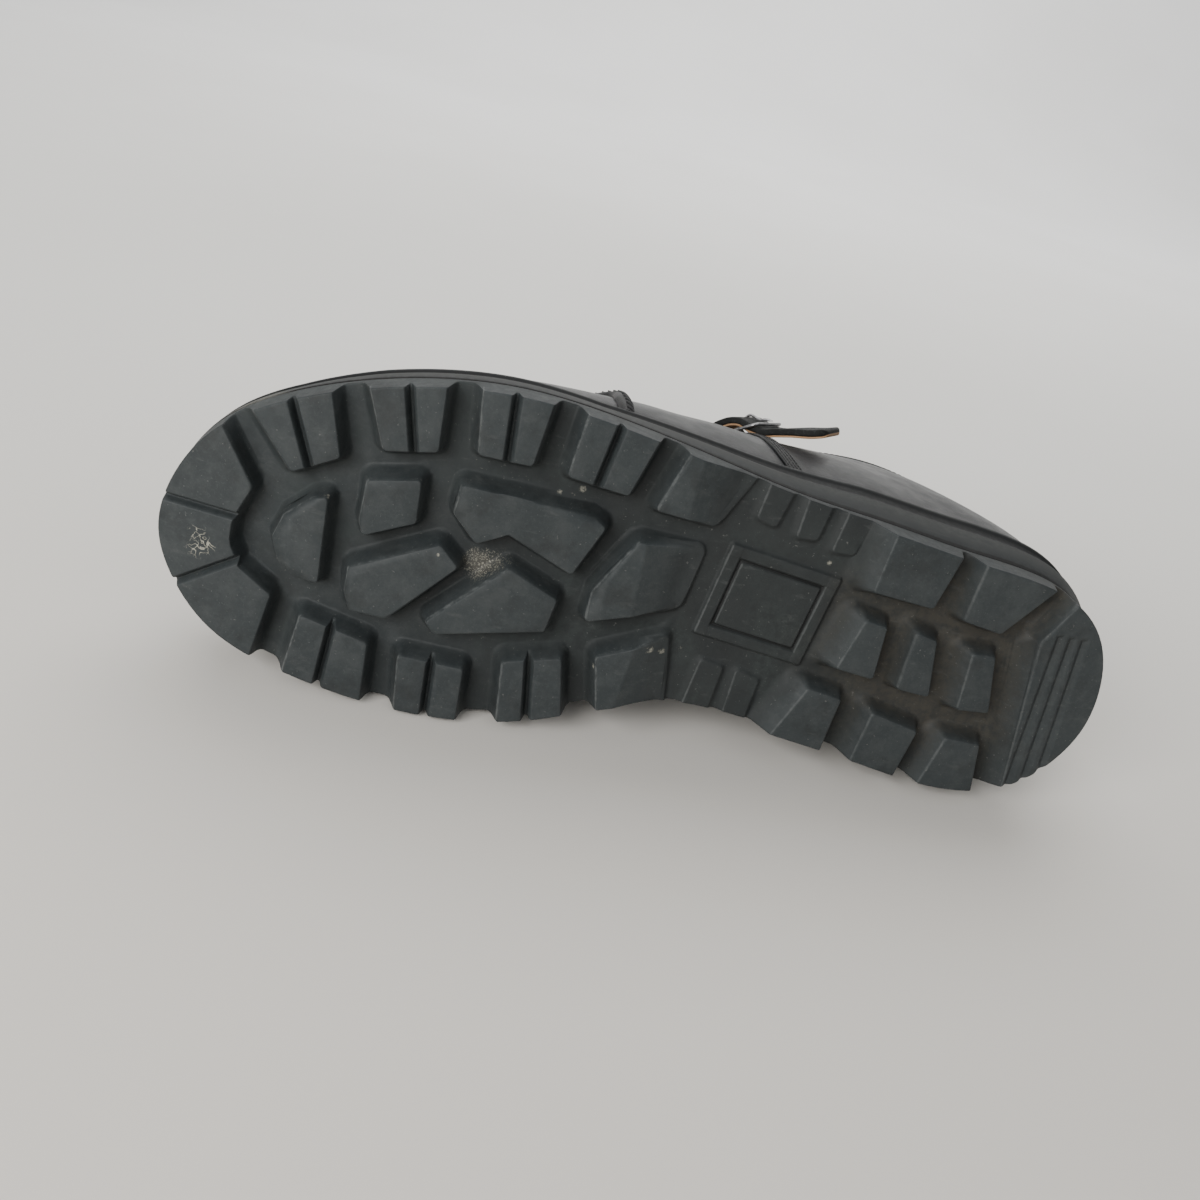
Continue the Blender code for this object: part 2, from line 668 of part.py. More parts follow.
def surface_step(place, height, move):
    """The spot on the upper that lies a small move away from another, both as place and height."""
    across = (upper_point(place + 0.01, height) - upper_point(place - 0.01, height)) / 0.02
    upward = (upper_point(place, height + 0.005) - upper_point(place, height - 0.005)) / 0.01
    steps = [np.linalg.lstsq(np.c_[a, b], m, rcond=None)[0] for a, b, m in zip(across, upward, move)]
    steps = np.array(steps)
    return place + steps[:, 0], height + steps[:, 1]


def smooth_line(rows, fine=24):
    """Many points on a smooth line through the rows."""
    rows = np.asarray(rows, float)
    ends = np.vstack((2 * rows[0] - rows[1], rows, 2 * rows[-1] - rows[-2]))
    points = []
    for i in range(1, len(ends) - 2):
        a, b, c, d = ends[i - 1:i + 3]
        for s in np.linspace(0, 1, fine, endpoint=False):
            points.append(b + 0.5 * s * (c - a + s * (2 * a - 5 * b + 4 * c - d + s * (3 * (b - c) + d - a))))
    return np.array(points + [rows[-1]])


def lengths(points):
    """How far along a line each of its points is."""
    return np.r_[0, np.cumsum(np.linalg.norm(np.diff(points, axis=0), axis=1))]


def at_lengths(points, length, spots):
    """The spots of a line at the given lengths, where length tells how far along each of its points is."""
    return np.stack([np.interp(spots, length, points[:, axis]) for axis in range(points.shape[1])], axis=1)


def evenly(points, count, by=None):
    """The points of a line at even steps of length, which may be measured on another line."""
    length = lengths(points if by is None else by)
    return at_lengths(points, length, np.linspace(0, length[-1], count))


def seam_path(stops, count):
    """Places and heights evenly spaced along a line of stops on the upper, as a smooth curve."""
    fine = smooth_line(stops)
    return evenly(fine, count, by=upper_point(fine[:, 0], fine[:, 1])).T


def seam_strip(name, stops, profile, count):
    """A raised strip along the upper. The profile gives points across it and above the wall."""
    place, height = seam_path(stops, count)
    spots = upper_point(place, height)
    run = np.gradient(spots, axis=0)
    run /= np.linalg.norm(run, axis=1)[:, None]
    across = np.cross(upper_normal(place, height), run)
    lines = []
    for aside, above in profile:
        side_place, side_height = surface_step(place, height, across * aside)
        side_height = np.clip(side_height, *SEAM_HEIGHTS)
        lines.append(
            upper_point(side_place, side_height) + upper_normal(side_place, side_height) * above
        )
    rings = np.stack(lines, axis=1)
    width = len(profile)
    faces = []
    for i in range(count - 1):
        faces += ring_faces(i * width, (i + 1) * width, width)
    faces.append(tuple(range(width)))
    faces.append(tuple((count - 1) * width + i for i in range(width)))
    make_object(name, rings.reshape(-1, 3), faces, BLACK_LEATHER)


# The lowest and highest that a seam's strip reaches on the upper.
SEAM_HEIGHTS = (0.07, 0.985)
APRON_SEAM = (
    # place, height
    (7.00, 0.03),
    (7.06, 0.22),
    (7.24, 0.44),
    (7.80, 0.60),
    (9.0, 0.63),
    (10.5, 0.58),
    (12.0, 0.50),
    (13.3, 0.47),
    (14.6, 0.50),
    (16.0, 0.58),
    (17.3, 0.60),
    (18.5, 0.56),
    (19.0, 0.42),
    (19.18, 0.22),
    (19.24, 0.03),
)
LATERAL_SEAM = ((4.94, 0.03), (5.11, 0.35), (5.24, 0.62), (5.42, 0.85), (5.50, 0.95))
MEDIAL_SEAM = ((21.54, 0.03), (21.32, 0.35), (21.2, 0.68), (21.15, 0.97))
RIDGE_PROFILE = ((-2.3, GAP), (-2.0, 1.1), (-1.0, 1.9), (0.9, 1.8), (2.0, 1.0), (2.3, GAP), (0.0, GAP))
OVERLAY_PROFILE = ((-2.7, GAP), (-2.3, 0.8), (2.3, 0.8), (2.7, GAP), (0.0, GAP))


def build_seams():
    seam_strip("apron_seam", APRON_SEAM, RIDGE_PROFILE, APRON_STEPS)
    seam_strip("quarter_seam_lateral", LATERAL_SEAM, OVERLAY_PROFILE, QUARTER_STEPS)
    seam_strip("quarter_seam_medial", MEDIAL_SEAM, OVERLAY_PROFILE, QUARTER_STEPS)


# ---------------------------------------------------------------- strap and buckle

STRAP_PATH = (
    # x, y, z of the strap's middle, from the medial side over the instep to the lateral side and the free end
    (141.5, -33.2, 53.0),
    (142.5, -29.0, 67.0),
    (144.0, -21.0, 81.0),
    (145.5, -5.5, 91.5),
    (144.0, 12.0, 94.5),
    (140.5, 26.3, 93.2),
    (134.9, 36.0, 90.5),
    (129.5, 41.4, 87.9),
    (125.0, 45.1, 85.1),
    (121.5, 48.9, 82.7),
    (117.5, 51.5, 79.9),
    (113.1, 51.0, 76.1),
    (109.1, 51.1, 73.1),
    (105.1, 52.9, 70.0),
    (100.9, 54.7, 67.0),
    (96.3, 56.3, 64.0),
    (91.8, 58.4, 61.1),
)
STRAP_TWIST = (
    # part of the strap's length, degrees that its outer face is turned down to the sole
    (0.0, 0.0),
    (0.5, 0.0),
    (0.62, 25.6),
    (0.7, 30.8),
    (0.76, 22.8),
    (0.82, 21.6),
    (0.88, 15.2),
    (0.94, 10.4),
    (1.0, 6.6),
)
STRAP_TIP = (
    # back from the free end, off each side
    (4.0, 0.0),
    (2.2, 0.5),
    (1.0, 1.4),
    (0.3, 2.5),
    (0.0, 3.5),
)
# The strap's outer face looks away from this line along the foot.
FOOT_AXIS_Y = 12.0
FOOT_AXIS_Z = 50.0


def smooth_path(rows, count):
    """Evenly spaced points on a smooth line through the rows."""
    return evenly(smooth_line(rows), count)


def unit(vectors):
    return vectors / np.linalg.norm(vectors, axis=-1, keepdims=True)


def strap_frames(path):
    """The strap's run, outward side and width direction at each point of its path."""
    run = unit(np.gradient(path, axis=0))
    away = path - np.c_[path[:, 0], np.full(len(path), FOOT_AXIS_Y), np.full(len(path), FOOT_AXIS_Z)]
    away = unit(away - np.sum(away * run, axis=1)[:, None] * run)
    part = lengths(path) / lengths(path)[-1]
    twist = np.radians(np.interp(part, *np.transpose(STRAP_TWIST)))[:, None]
    away = away * np.cos(twist) + np.cross(run, away) * np.sin(twist)
    return run, away, np.cross(run, away)


def ribbon(path, away, across, width, thickness, chamfer):
    """A strap's solid: its points and faces. The width may change along the path."""
    half = np.broadcast_to(width, len(path))[:, None] / 2
    t = thickness / 2
    profile = (
        # side, in from it, up
        (-1, 0.0, -t + chamfer), (-1, 0.0, t - chamfer), (-1, chamfer, t), (1, chamfer, t),
        (1, 0.0, t - chamfer), (1, 0.0, -t + chamfer), (1, chamfer, -t), (-1, chamfer, -t),
    )
    lines = [path + across * side * (half - inward) + away * up for side, inward, up in profile]
    rings = np.stack(lines, axis=1)
    size = len(profile)
    faces = []
    for i in range(len(path) - 1):
        faces += ring_faces(i * size, (i + 1) * size, size)
    faces.append(tuple(range(size)))
    faces.append(tuple((len(path) - 1) * size + i for i in range(size)))
    return rings.reshape(-1, 3), faces


def tube(path, radius, sides=8, closed=False):
    """A round wire along a path."""
    path = np.asarray(path, float)
    if closed:
        run = unit(np.roll(path, -1, axis=0) - np.roll(path, 1, axis=0))
    else:
        run = unit(np.gradient(path, axis=0))
    side = np.cross(run[0], (0.31, 0.52, 0.79))
    rings = []
    for point, direction in zip(path, run):
        side = side - np.dot(side, direction) * direction
        side /= np.linalg.norm(side)
        other = np.cross(direction, side)
        angles = np.arange(sides) * 2 * math.pi / sides
        rings.append([point + radius * (math.cos(a) * side + math.sin(a) * other) for a in angles])
    faces = []
    count = len(path)
    for i in range(count if closed else count - 1):
        faces += ring_faces(i * sides, (i + 1) % count * sides, sides)
    if not closed:
        faces.append(tuple(range(sides)))
        faces.append(tuple((count - 1) * sides + i for i in range(sides)))
    return np.array(rings).reshape(-1, 3), faces


def box(centre, axes, sizes):
    corners = [centre + sum(axis * size * sign / 2 for axis, size, sign in zip(axes, sizes, signs))
               for signs in ((-1, -1, -1), (1, -1, -1), (1, 1, -1), (-1, 1, -1),
                             (-1, -1, 1), (1, -1, 1), (1, 1, 1), (-1, 1, 1))]
    faces = ((0, 3, 2, 1), (4, 5, 6, 7), (0, 1, 5, 4), (1, 2, 6, 5), (2, 3, 7, 6), (3, 0, 4, 7))
    return np.array(corners), faces


def strap_spot(x):
    """The strap's middle and its run, outward side and width where it passes x on the lateral side."""
    path = smooth_path(STRAP_PATH, SPOT_STEPS)
    lateral = np.where(path[:, 1] > FOOT_AXIS_Y + STRAP_WIDTH)[0]
    i = lateral[np.argmin(np.abs(path[lateral, 0] - x))]
    return (path[i], *(direction[i] for direction in strap_frames(path)))


def build_strap_and_buckle():
    line = smooth_line(STRAP_PATH)
    back, off = np.transpose(STRAP_TIP)
    end = lengths(line)[-1]
    spots = np.r_[np.linspace(0, end - back[0], STRAP_STEPS), end - back[1:]]
    path = at_lengths(line, lengths(line), spots)
    width = STRAP_WIDTH - 2 * np.r_[np.zeros(STRAP_STEPS), off[1:]]
    _, outward, widthways = strap_frames(path)
    strip = ribbon(path, outward, widthways, width, STRAP_THICKNESS, STRAP_CHAMFER)
    strap = make_object("strap", *strip, BLACK_LEATHER)
    pivot, run, away, across = strap_spot(PIVOT_X)
    cut_away(strap, *box(pivot + run * SLOT_AHEAD, (run, across, away), (*SLOT, 3 * STRAP_THICKNESS)))
    far_point, _, far_away, far_across = strap_spot(FAR_BAR_X)
    across = unit(across + far_across)
    bar = pivot - away * (STRAP_THICKNESS / 2 + BAR_CLEARANCE + TAB_THICKNESS + GAP + WIRE)
    far_bar = far_point + far_away * (STRAP_THICKNESS / 2 + GAP + WIRE)
    build_frame(bar, far_bar, across)
    build_prong(bar, far_bar)
    build_tab(bar, across)


def build_frame(bar, far_bar, across):
    """The buckle's rounded wire frame between its pivot bar and its far bar."""
    length = np.linalg.norm(far_bar - bar)
    ahead = (far_bar - bar) / length
    half_width = STRAP_WIDTH / 2 + 2 * GAP + WIRE
    near, far, side = FRAME_CORNER, length - FRAME_CORNER, half_width - FRAME_CORNER
    spots = []
    corners = ((far, side, 0), (near, side, 90), (near, -side, 180), (far, -side, 270))
    for along_frame, aside, start in corners:
        for angle in np.radians(start + np.linspace(0, 90, CORNER_STEPS + 1)):
            spots.append(bar + ahead * (along_frame + FRAME_CORNER * math.cos(angle))
                         + across * (aside + FRAME_CORNER * math.sin(angle)))
    make_object("buckle_frame", *tube(spots, WIRE, sides=8, closed=True), GUNMETAL)


PRONG_TURN = range(330, 59, -30)
PRONG_RISE = (
    # x behind the pivot, above the strap's outer face
    (2.6, -2.0),
    (3.7, -0.4),
    (4.9, 0.95),
    (7.4, 0.95),
)
PRONG_END = (
    # past the far bar, above lying on it
    (-2.0, -0.4),
    (0.0, 0.05),
    (0.8, 0.1),
)


def off_strap(x, height):
    """The spot at that height over the strap's middle line, towards its outer face."""
    point, _, away, _ = strap_spot(x)
    return point + away * height


def build_prong(bar, far_bar):
    """A wire that turns once around the pivot bar, comes up through the slot and lies on the far bar."""
    _, run, away, _ = strap_spot(PIVOT_X)
    _, far_run, far_away, _ = strap_spot(FAR_BAR_X)
    eye = WIRE + GAP + PRONG_WIRE
    spots = [bar + eye * (math.cos(angle) * away + math.sin(angle) * run) for angle in np.radians(PRONG_TURN)]
    spots += [off_strap(PIVOT_X - behind, STRAP_THICKNESS / 2 + above) for behind, above in PRONG_RISE]
    spots += [far_bar + far_run * past + far_away * (eye + above) for past, above in PRONG_END]
    make_object("buckle_prong", *tube(smooth_path(spots, PRONG_STEPS), PRONG_WIRE, sides=6), GUNMETAL)


TAB_TURN = range(190, -1, -30)
TAB_TAIL = (
    # x past the pivot, further from the strap
    (6.5, 0.0),
    (4.3, 0.0),
    (2.2, 0.8),
)
TAB_END = 2.2


def build_tab(bar, across):
    """The leather tab that turns around the pivot bar under the strap, slotted for the prong."""
    _, run, away, _ = strap_spot(PIVOT_X)
    near = STRAP_THICKNESS / 2 + BAR_CLEARANCE + TAB_THICKNESS / 2
    far = near + TAB_THICKNESS + GAP
    turn = WIRE + GAP + TAB_THICKNESS / 2
    spots = [off_strap(PIVOT_X + past, -far - further) for past, further in TAB_TAIL]
    spots += [bar + turn * (math.cos(angle) * away + math.sin(angle) * run) for angle in np.radians(TAB_TURN)]
    spots.append(off_strap(PIVOT_X + TAB_END, -near - GAP))
    centre = smooth_path(spots, TAB_STEPS)
    direction = unit(np.gradient(centre, axis=0))
    width = np.broadcast_to(across, centre.shape)
    outward = np.cross(width, direction)
    strip = ribbon(centre, outward, width, TAB_WIDTH, TAB_THICKNESS, TAB_CHAMFER)
    tab = make_object("buckle_tab", *strip, BLACK_LEATHER)
    middle = bar + run * TAB_SLOT_AHEAD
    cut_away(tab, *box(middle, (run, across, away), (*TAB_SLOT, 4 * STRAP_THICKNESS)))


def main():
    global ROOT
    for old in list(bpy.data.objects):
        bpy.data.objects.remove(old)
    ROOT = bpy.data.objects.new("sandal", None)
    bpy.context.scene.collection.objects.link(ROOT)
    build_outsole()
    build_midsole()
    build_insole()
    build_upper()
    build_seams()
    build_strap_and_buckle()
    place()


def place():
    """Turns the shoe onto its medial side and puts the origin under the middle of its bounds."""
    lying = Matrix(((-1, 0, 0, 0), (0, 0, 1, 0), (0, 1, 0, 0), (0, 0, 0, 1)))
    turn = Matrix.Rotation(math.radians(LEAN), 4, "X") @ Matrix.Rotation(math.radians(PITCH), 4, "Y") @ lying
    points = [turn @ vertex.co for obj in bpy.data.objects if obj.type == "MESH" and not obj.hide_render
              for vertex in obj.data.vertices]
    low = Vector([min(point[axis] for point in points) for axis in range(3)])
    high = Vector([max(point[axis] for point in points) for axis in range(3)])
    ROOT.matrix_world = Matrix.Translation((-(low.x + high.x) / 2, -(low.y + high.y) / 2, -low.z)) @ turn


main()
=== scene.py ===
"""Looks for the left strap sandal that lies on its medial side.

Everything is worked out in the shoe's own frame, in millimetres: x from the heel's end to the toe, y to the
lateral side and z up from the ground under the sole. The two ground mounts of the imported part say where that
frame lies in the row frame, and the outline, lip, wall and strap tables are those of the part.
"""

import json
import math
from itertools import product

import bmesh
import bpy
import numpy as np
from mathutils import Matrix, Vector
from mathutils.geometry import delaunay_2d_cdt


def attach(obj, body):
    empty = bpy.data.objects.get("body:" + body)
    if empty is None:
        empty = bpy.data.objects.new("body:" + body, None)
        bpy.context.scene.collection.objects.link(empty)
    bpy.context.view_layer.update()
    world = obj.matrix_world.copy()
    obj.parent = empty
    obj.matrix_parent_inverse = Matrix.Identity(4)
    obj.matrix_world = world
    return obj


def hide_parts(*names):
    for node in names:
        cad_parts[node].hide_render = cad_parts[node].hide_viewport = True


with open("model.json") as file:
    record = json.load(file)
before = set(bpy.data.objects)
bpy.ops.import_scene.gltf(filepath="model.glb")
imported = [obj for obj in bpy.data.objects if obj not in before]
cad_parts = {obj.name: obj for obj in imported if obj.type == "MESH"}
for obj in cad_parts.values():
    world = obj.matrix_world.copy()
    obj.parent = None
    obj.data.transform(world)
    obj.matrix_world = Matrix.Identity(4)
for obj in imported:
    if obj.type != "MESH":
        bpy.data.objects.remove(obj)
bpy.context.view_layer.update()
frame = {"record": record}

# ---- the shoe's frame

MM = 0.001
HEEL_SPOT = (62.0, 5.5, 0.0)
FOREFOOT_SPOT = (179.0, 27.0, 0.0)


def shoe_matrix():
    """Takes metres in the shoe's frame to the row frame, from the two ground mounts."""
    mounts = {mount["name"]: mount for mount in frame["record"]["mounts"]}
    heel = Vector(mounts["heel_ground"]["pos_m"])
    forefoot = Vector(mounts["forefoot_ground"]["pos_m"])
    up = -Vector(mounts["heel_ground"]["axis"]).normalized()
    angle = math.atan2(FOREFOOT_SPOT[1] - HEEL_SPOT[1], FOREFOOT_SPOT[0] - HEEL_SPOT[0])
    run = forefoot - heel
    run = (run - run.dot(up) * up).normalized()
    ahead = Matrix.Rotation(-angle, 3, up) @ run
    turn = Matrix((ahead, up.cross(ahead), up)).transposed()
    return Matrix.Translation(heel - turn @ (Vector(HEEL_SPOT) * MM)) @ turn.to_4x4()


SHOE = shoe_matrix()
SHOE_TURN = np.array(SHOE.to_3x3())
SHOE_ORIGIN = np.array(SHOE.translation)


def to_row(points):
    """Millimetres in the shoe's frame to metres in the row frame."""
    return np.asarray(points, float) * MM @ SHOE_TURN.T + SHOE_ORIGIN


# ---- the part's tables

SOLE_LENGTH = 300.0
OUTSOLE_TOP = 10.0
LUG_HEIGHT = 7.4
TOE_SPRING = 12.2
SPRING_START = 186.5
GAP = 0.3
SEAT_DEPTH = 1.5
LIP_WIDTH = 1.3
LEATHER_INSET = LIP_WIDTH + 0.9
LEATHER = 2.2
STRAP_WIDTH = 19.0
STRAP_THICKNESS = 3.0

OUTLINE = (
    # x, y
    (-0.3, 1.0), (6.5, 23.5), (26.0, 37.8), (55.0, 42.6), (84.0, 46.9), (112.0, 50.8), (140.0, 56.8),
    (168.0, 62.6), (196.0, 66.2), (222.0, 64.7), (248.0, 58.2), (272.0, 47.5), (290.0, 32.0), (299.6, 10.0),
    (296.5, -9.0), (282.0, -26.5), (258.0, -35.8), (230.0, -40.4), (203.0, -40.6), (178.0, -35.8),
    (154.0, -27.3), (128.0, -24.9), (100.0, -28.4), (72.0, -33.3), (44.0, -38.0), (19.0, -34.2), (4.0, -18.5),
)

LIP = (
    # x, height, out
    (0.0, 31.0, 3.0),
    (30.0, 31.0, 3.4),
    (50.0, 30.5, 3.9),
    (90.0, 29.0, 3.7),
    (122.0, 27.0, 1.8),
    (155.0, 25.0, 0.2),
    (176.0, 24.1, -0.9),
    (205.0, 23.0, -0.5),
    (240.0, 22.2, -0.4),
    (265.0, 22.0, -1.1),
    (300.0, 22.0, -0.6),
)

UPPER = (
    # at, edge x, edge y, edge z, shoulder x, shoulder y, shoulder z, swell, rise
    (0.0, 12.0, 1.0, 95.0, 3.5, 1.0, 68.0, 3.0, 20.0),
    (2.0, 36.0, 32.5, 89.0, 28.0, 37.5, 66.0, 2.5, 18.0),
    (3.5, 70.0, 44.2, 82.8, 70.0, 50.3, 62.3, 2.5, 16.0),
    (5.0, 108.0, 43.4, 77.9, 109.0, 55.0, 62.0, 3.2, 14.0),
    (6.5, 148.0, 36.0, 77.0, 149.0, 60.8, 64.2, 4.0, 16.0),
    (8.0, 172.0, 25.0, 81.0, 180.0, 52.0, 70.0, 2.0, 18.0),
    (10.0, 181.0, 17.0, 82.5, 217.5, 38.0, 73.5, 1.0, 20.0),
    (13.3, 184.5, 8.0, 82.5, 240.0, 6.0, 71.5, 1.0, 22.0),
    (16.0, 181.0, -1.0, 82.5, 214.0, -17.0, 73.5, 1.0, 20.0),
    (18.0, 171.0, -8.0, 82.0, 180.0, -27.0, 71.0, 1.5, 18.0),
    (19.7, 150.0, -16.5, 79.0, 153.0, -32.0, 64.0, 4.0, 16.0),
    (21.3, 113.0, -24.0, 79.0, 114.0, -34.0, 61.0, 6.0, 16.0),
    (23.0, 72.0, -29.0, 81.0, 72.0, -38.0, 61.0, 4.0, 18.0),
    (25.0, 32.0, -24.0, 90.0, 27.0, -32.0, 66.0, 3.0, 20.0),
)

APRON_SEAM = (
    # place, height
    (7.00, 0.03), (7.06, 0.22), (7.24, 0.44), (7.80, 0.60), (9.0, 0.63), (10.5, 0.58), (12.0, 0.50),
    (13.3, 0.47), (14.6, 0.50), (16.0, 0.58), (17.3, 0.60), (18.5, 0.56), (19.0, 0.42), (19.18, 0.22),
    (19.24, 0.03),
)
LATERAL_SEAM = ((4.94, 0.03), (5.11, 0.35), (5.24, 0.62), (5.42, 0.85), (5.50, 0.95))
MEDIAL_SEAM = ((21.54, 0.03), (21.32, 0.35), (21.2, 0.68), (21.15, 0.97))

STRAP_PATH = (
    # x, y, z of the strap's middle, from the medial side over the instep to the free end
    (141.5, -33.2, 53.0), (142.5, -29.0, 67.0), (144.0, -21.0, 81.0), (145.5, -5.5, 91.5),
    (144.0, 12.0, 94.5), (140.5, 26.3, 93.2), (134.9, 36.0, 90.5), (129.5, 41.4, 87.9), (125.0, 45.1, 85.1),
    (121.5, 48.9, 82.7), (117.5, 51.5, 79.9), (113.1, 51.0, 76.1), (109.1, 51.1, 73.1),
    (105.1, 52.9, 70.0), (100.9, 54.7, 67.0), (96.3, 56.3, 64.0), (91.8, 58.4, 61.1),
)
STRAP_TWIST = (
    # part of the strap's length, degrees that its outer face is turned down to the sole
    (0.0, 0.0), (0.5, 0.0), (0.62, 25.6), (0.7, 30.8), (0.76, 22.8),
    (0.82, 21.6), (0.88, 15.2), (0.94, 10.4), (1.0, 6.6),
)
STRAP_TIP = (
    # back from the free end, off each side
    (4.0, 0.0), (2.2, 0.5), (1.0, 1.4), (0.3, 2.5), (0.0, 3.5),
)
FOOT_AXIS_Y = 12.0
FOOT_AXIS_Z = 50.0


# ---- curves

def periodic_spline(knots, rows, period):
    """A smooth closed curve through the rows, one at each knot, as a function of the place along it."""
    knots = np.asarray(knots, float)
    rows = np.asarray(rows, float)
    count = len(knots)
    steps = np.diff(np.append(knots, knots[0] + period))
    system = np.zeros((count, count))
    right = np.zeros_like(rows)
    for i in range(count):
        before, after = (i - 1) % count, (i + 1) % count
        system[i, before] += steps[before]
        system[i, i] += 2 * (steps[before] + steps[i])
        system[i, after] += steps[i]
        right[i] = 6 * ((rows[after] - rows[i]) / steps[i] - (rows[i] - rows[before]) / steps[before])
    bend = np.linalg.solve(system, right)

    def at(place):
        place = (np.atleast_1d(np.asarray(place, float)) - knots[0]) % period + knots[0]
        i = np.searchsorted(knots, place, side="right") - 1
        j = (i + 1) % count
        step = steps[i][:, None]
        past = (place - knots[i])[:, None]
        left = step - past
        return (
            bend[i] * left**3 / (6 * step)
            + bend[j] * past**3 / (6 * step)
            + (rows[i] / step - bend[i] * step / 6) * left
            + (rows[j] / step - bend[j] * step / 6) * past
        )

    return at


ROUND = len(OUTLINE)
OUTLINE_STEP = 0.01
outline_at = periodic_spline(range(ROUND), OUTLINE, ROUND)
upper_at = periodic_spline([row[0] for row in UPPER], [row[1:] for row in UPPER], ROUND)


def unit(vectors):
    return vectors / np.linalg.norm(vectors, axis=-1, keepdims=True)


def outward_at(place):
    """The outline's outward direction at each place."""
    place = np.asarray(place)
    run = unit(outline_at(place + OUTLINE_STEP) - outline_at(place - OUTLINE_STEP))
    return np.c_[-run[:, 1], run[:, 0]]


def spring(x):
    """How far the toe's end of everything below the foot is lifted at x."""
    past = np.clip((np.asarray(x, float) - SPRING_START) / (SOLE_LENGTH - SPRING_START), 0, None)
    return TOE_SPRING * past**2


def along(table, x, column):
    """A column of a table at x, on straight lines between its rows."""
    table = np.asarray(table)
    return np.interp(x, table[:, 0], table[:, column])


def lip_height(x):
    return along(LIP, x, 1) + spring(x)


def seat_height(x):
    return lip_height(x) - SEAT_DEPTH


def lip_out(place):
    return along(LIP, outline_at(place)[:, 0], 2)


def smooth_line(rows, fine=24):
    """Points on a smooth line through the rows."""
    rows = np.asarray(rows, float)
    ends = np.vstack((2 * rows[0] - rows[1], rows, 2 * rows[-1] - rows[-2]))
    points = []
    for i in range(1, len(ends) - 2):
        a, b, c, d = ends[i - 1:i + 3]
        for s in np.linspace(0, 1, fine, endpoint=False):
            points.append(b + 0.5 * s * (c - a + s * (2 * a - 5 * b + 4 * c - d + s * (3 * (b - c) + d - a))))
    return np.array(points + [rows[-1]])


def lengths(points):
    return np.r_[0, np.cumsum(np.linalg.norm(np.diff(points, axis=0), axis=1))]


def sample(points, length, at):
    """The points of a line where its length reaches each value of at."""
    return np.stack([np.interp(at, length, column) for column in points.T], axis=-1)


def evenly(points, count, by=None):
    """The points of a line at even steps of length, which may be measured on another line."""
    length = lengths(points if by is None else by)
    return sample(points, length, np.linspace(0, length[-1], count))


# ---- the wall of the upper

PLACE_STEP = 0.02
UP_STEP = 0.004
STEP = 0.01
WALL_LOW = 0.03
WALL_HIGH = 0.99


def upper_point(place, height):
    """The upper's outer side: place runs around the outline, height from 0 at the lip to 1 at the opening."""
    place = np.atleast_1d(np.asarray(place, float))
    height = np.broadcast_to(np.asarray(height, float), place.shape)[:, None]
    values = upper_at(place)
    edge, shoulder, swell, rise = values[:, 0:3], values[:, 3:6], values[:, 6:7], values[:, 7:8]
    outward = outward_at(place)
    foot = outline_at(place) + outward * (lip_out(place) - LEATHER_INSET)[:, None]
    foot = np.c_[foot, seat_height(foot[:, 0]) + GAP]
    wall = foot + np.c_[outward * swell, rise]
    left = 1 - height
    return foot * left**3 + wall * 3 * left**2 * height + shoulder * 3 * left * height**2 + edge * height**3


def upper_normal(place, height):
    """The direction out of the upper at each spot."""
    place = np.atleast_1d(np.asarray(place, float))
    height = np.broadcast_to(np.asarray(height, float), place.shape)
    low, high = np.clip(height - UP_STEP, 0, 1), np.clip(height + UP_STEP, 0, 1)
    around = upper_point(place + PLACE_STEP, height) - upper_point(place - PLACE_STEP, height)
    upward = upper_point(place, high) - upper_point(place, low)
    return unit(np.cross(upward, around))


def wall_step(place, height, move):
    """The spot on the wall that lies a small move away from another, both as place and height."""
    across = (upper_point(place + STEP, height) - upper_point(place - STEP, height)) / (2 * STEP)
    upward = (upper_point(place, height + STEP / 2) - upper_point(place, height - STEP / 2)) / STEP
    steps = [np.linalg.lstsq(np.c_[a, b], m, rcond=None)[0] for a, b, m in zip(across, upward, move)]
    steps = np.array(steps)
    return place + steps[:, 0], height + steps[:, 1]


class WallLine:
    """A line on the wall through stops of place and height, with its frame at each of its even steps."""

    def __init__(self, stops, count):
        fine = smooth_line(stops)
        spots = upper_point(fine[:, 0], fine[:, 1])
        even = evenly(fine, count, by=spots)
        self.place, self.height = even[:, 0], even[:, 1]
        self.points = upper_point(self.place, self.height)
        self.run = unit(np.gradient(self.points, axis=0))
        self.across = np.cross(upper_normal(self.place, self.height), self.run)

    def beside(self, aside, above):
        """Points and outward directions beside the line, at a height above the wall."""
        place, height = wall_step(self.place, self.height, self.across * aside)
        height = np.clip(height, WALL_LOW, WALL_HIGH)
        normal = upper_normal(place, height)
        return upper_point(place, height) + normal * np.reshape(above, (-1, 1)), normal


# ---- meshes

def ring_faces(first, second, count):
    """Quads between two closed rings of points, given by their first places."""
    return [
        (first + i, first + (i + 1) % count, second + (i + 1) % count, second + i) for i in range(count)
    ]


def row_faces(first, second, count):
    """Quads between two open rows of points."""
    return [(first + i, first + i + 1, second + i + 1, second + i) for i in range(count - 1)]


def loft(rings, closed=True, ends=False):
    """Faces through a stack of equal rings, which may be open rows, with flat ends if asked for."""
    count = len(rings[0])
    joined = ring_faces if closed else row_faces
    faces = []
    for i in range(len(rings) - 1):
        faces += joined(i * count, (i + 1) * count, count)
    if ends:
        faces += [tuple(range(count)), tuple((len(rings) - 1) * count + i for i in range(count))]
    return faces


def finished(name, mesh, looks, replaces=()):
    """Makes a piece of a mesh in the row frame: it rides on the shoe and may stand for CAD nodes."""
    for look in looks:
        mesh.materials.append(look)
    piece = bpy.data.objects.new(name, mesh)
    bpy.context.scene.collection.objects.link(piece)
    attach(piece, "root")
    if replaces:
        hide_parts(*replaces)
    return piece


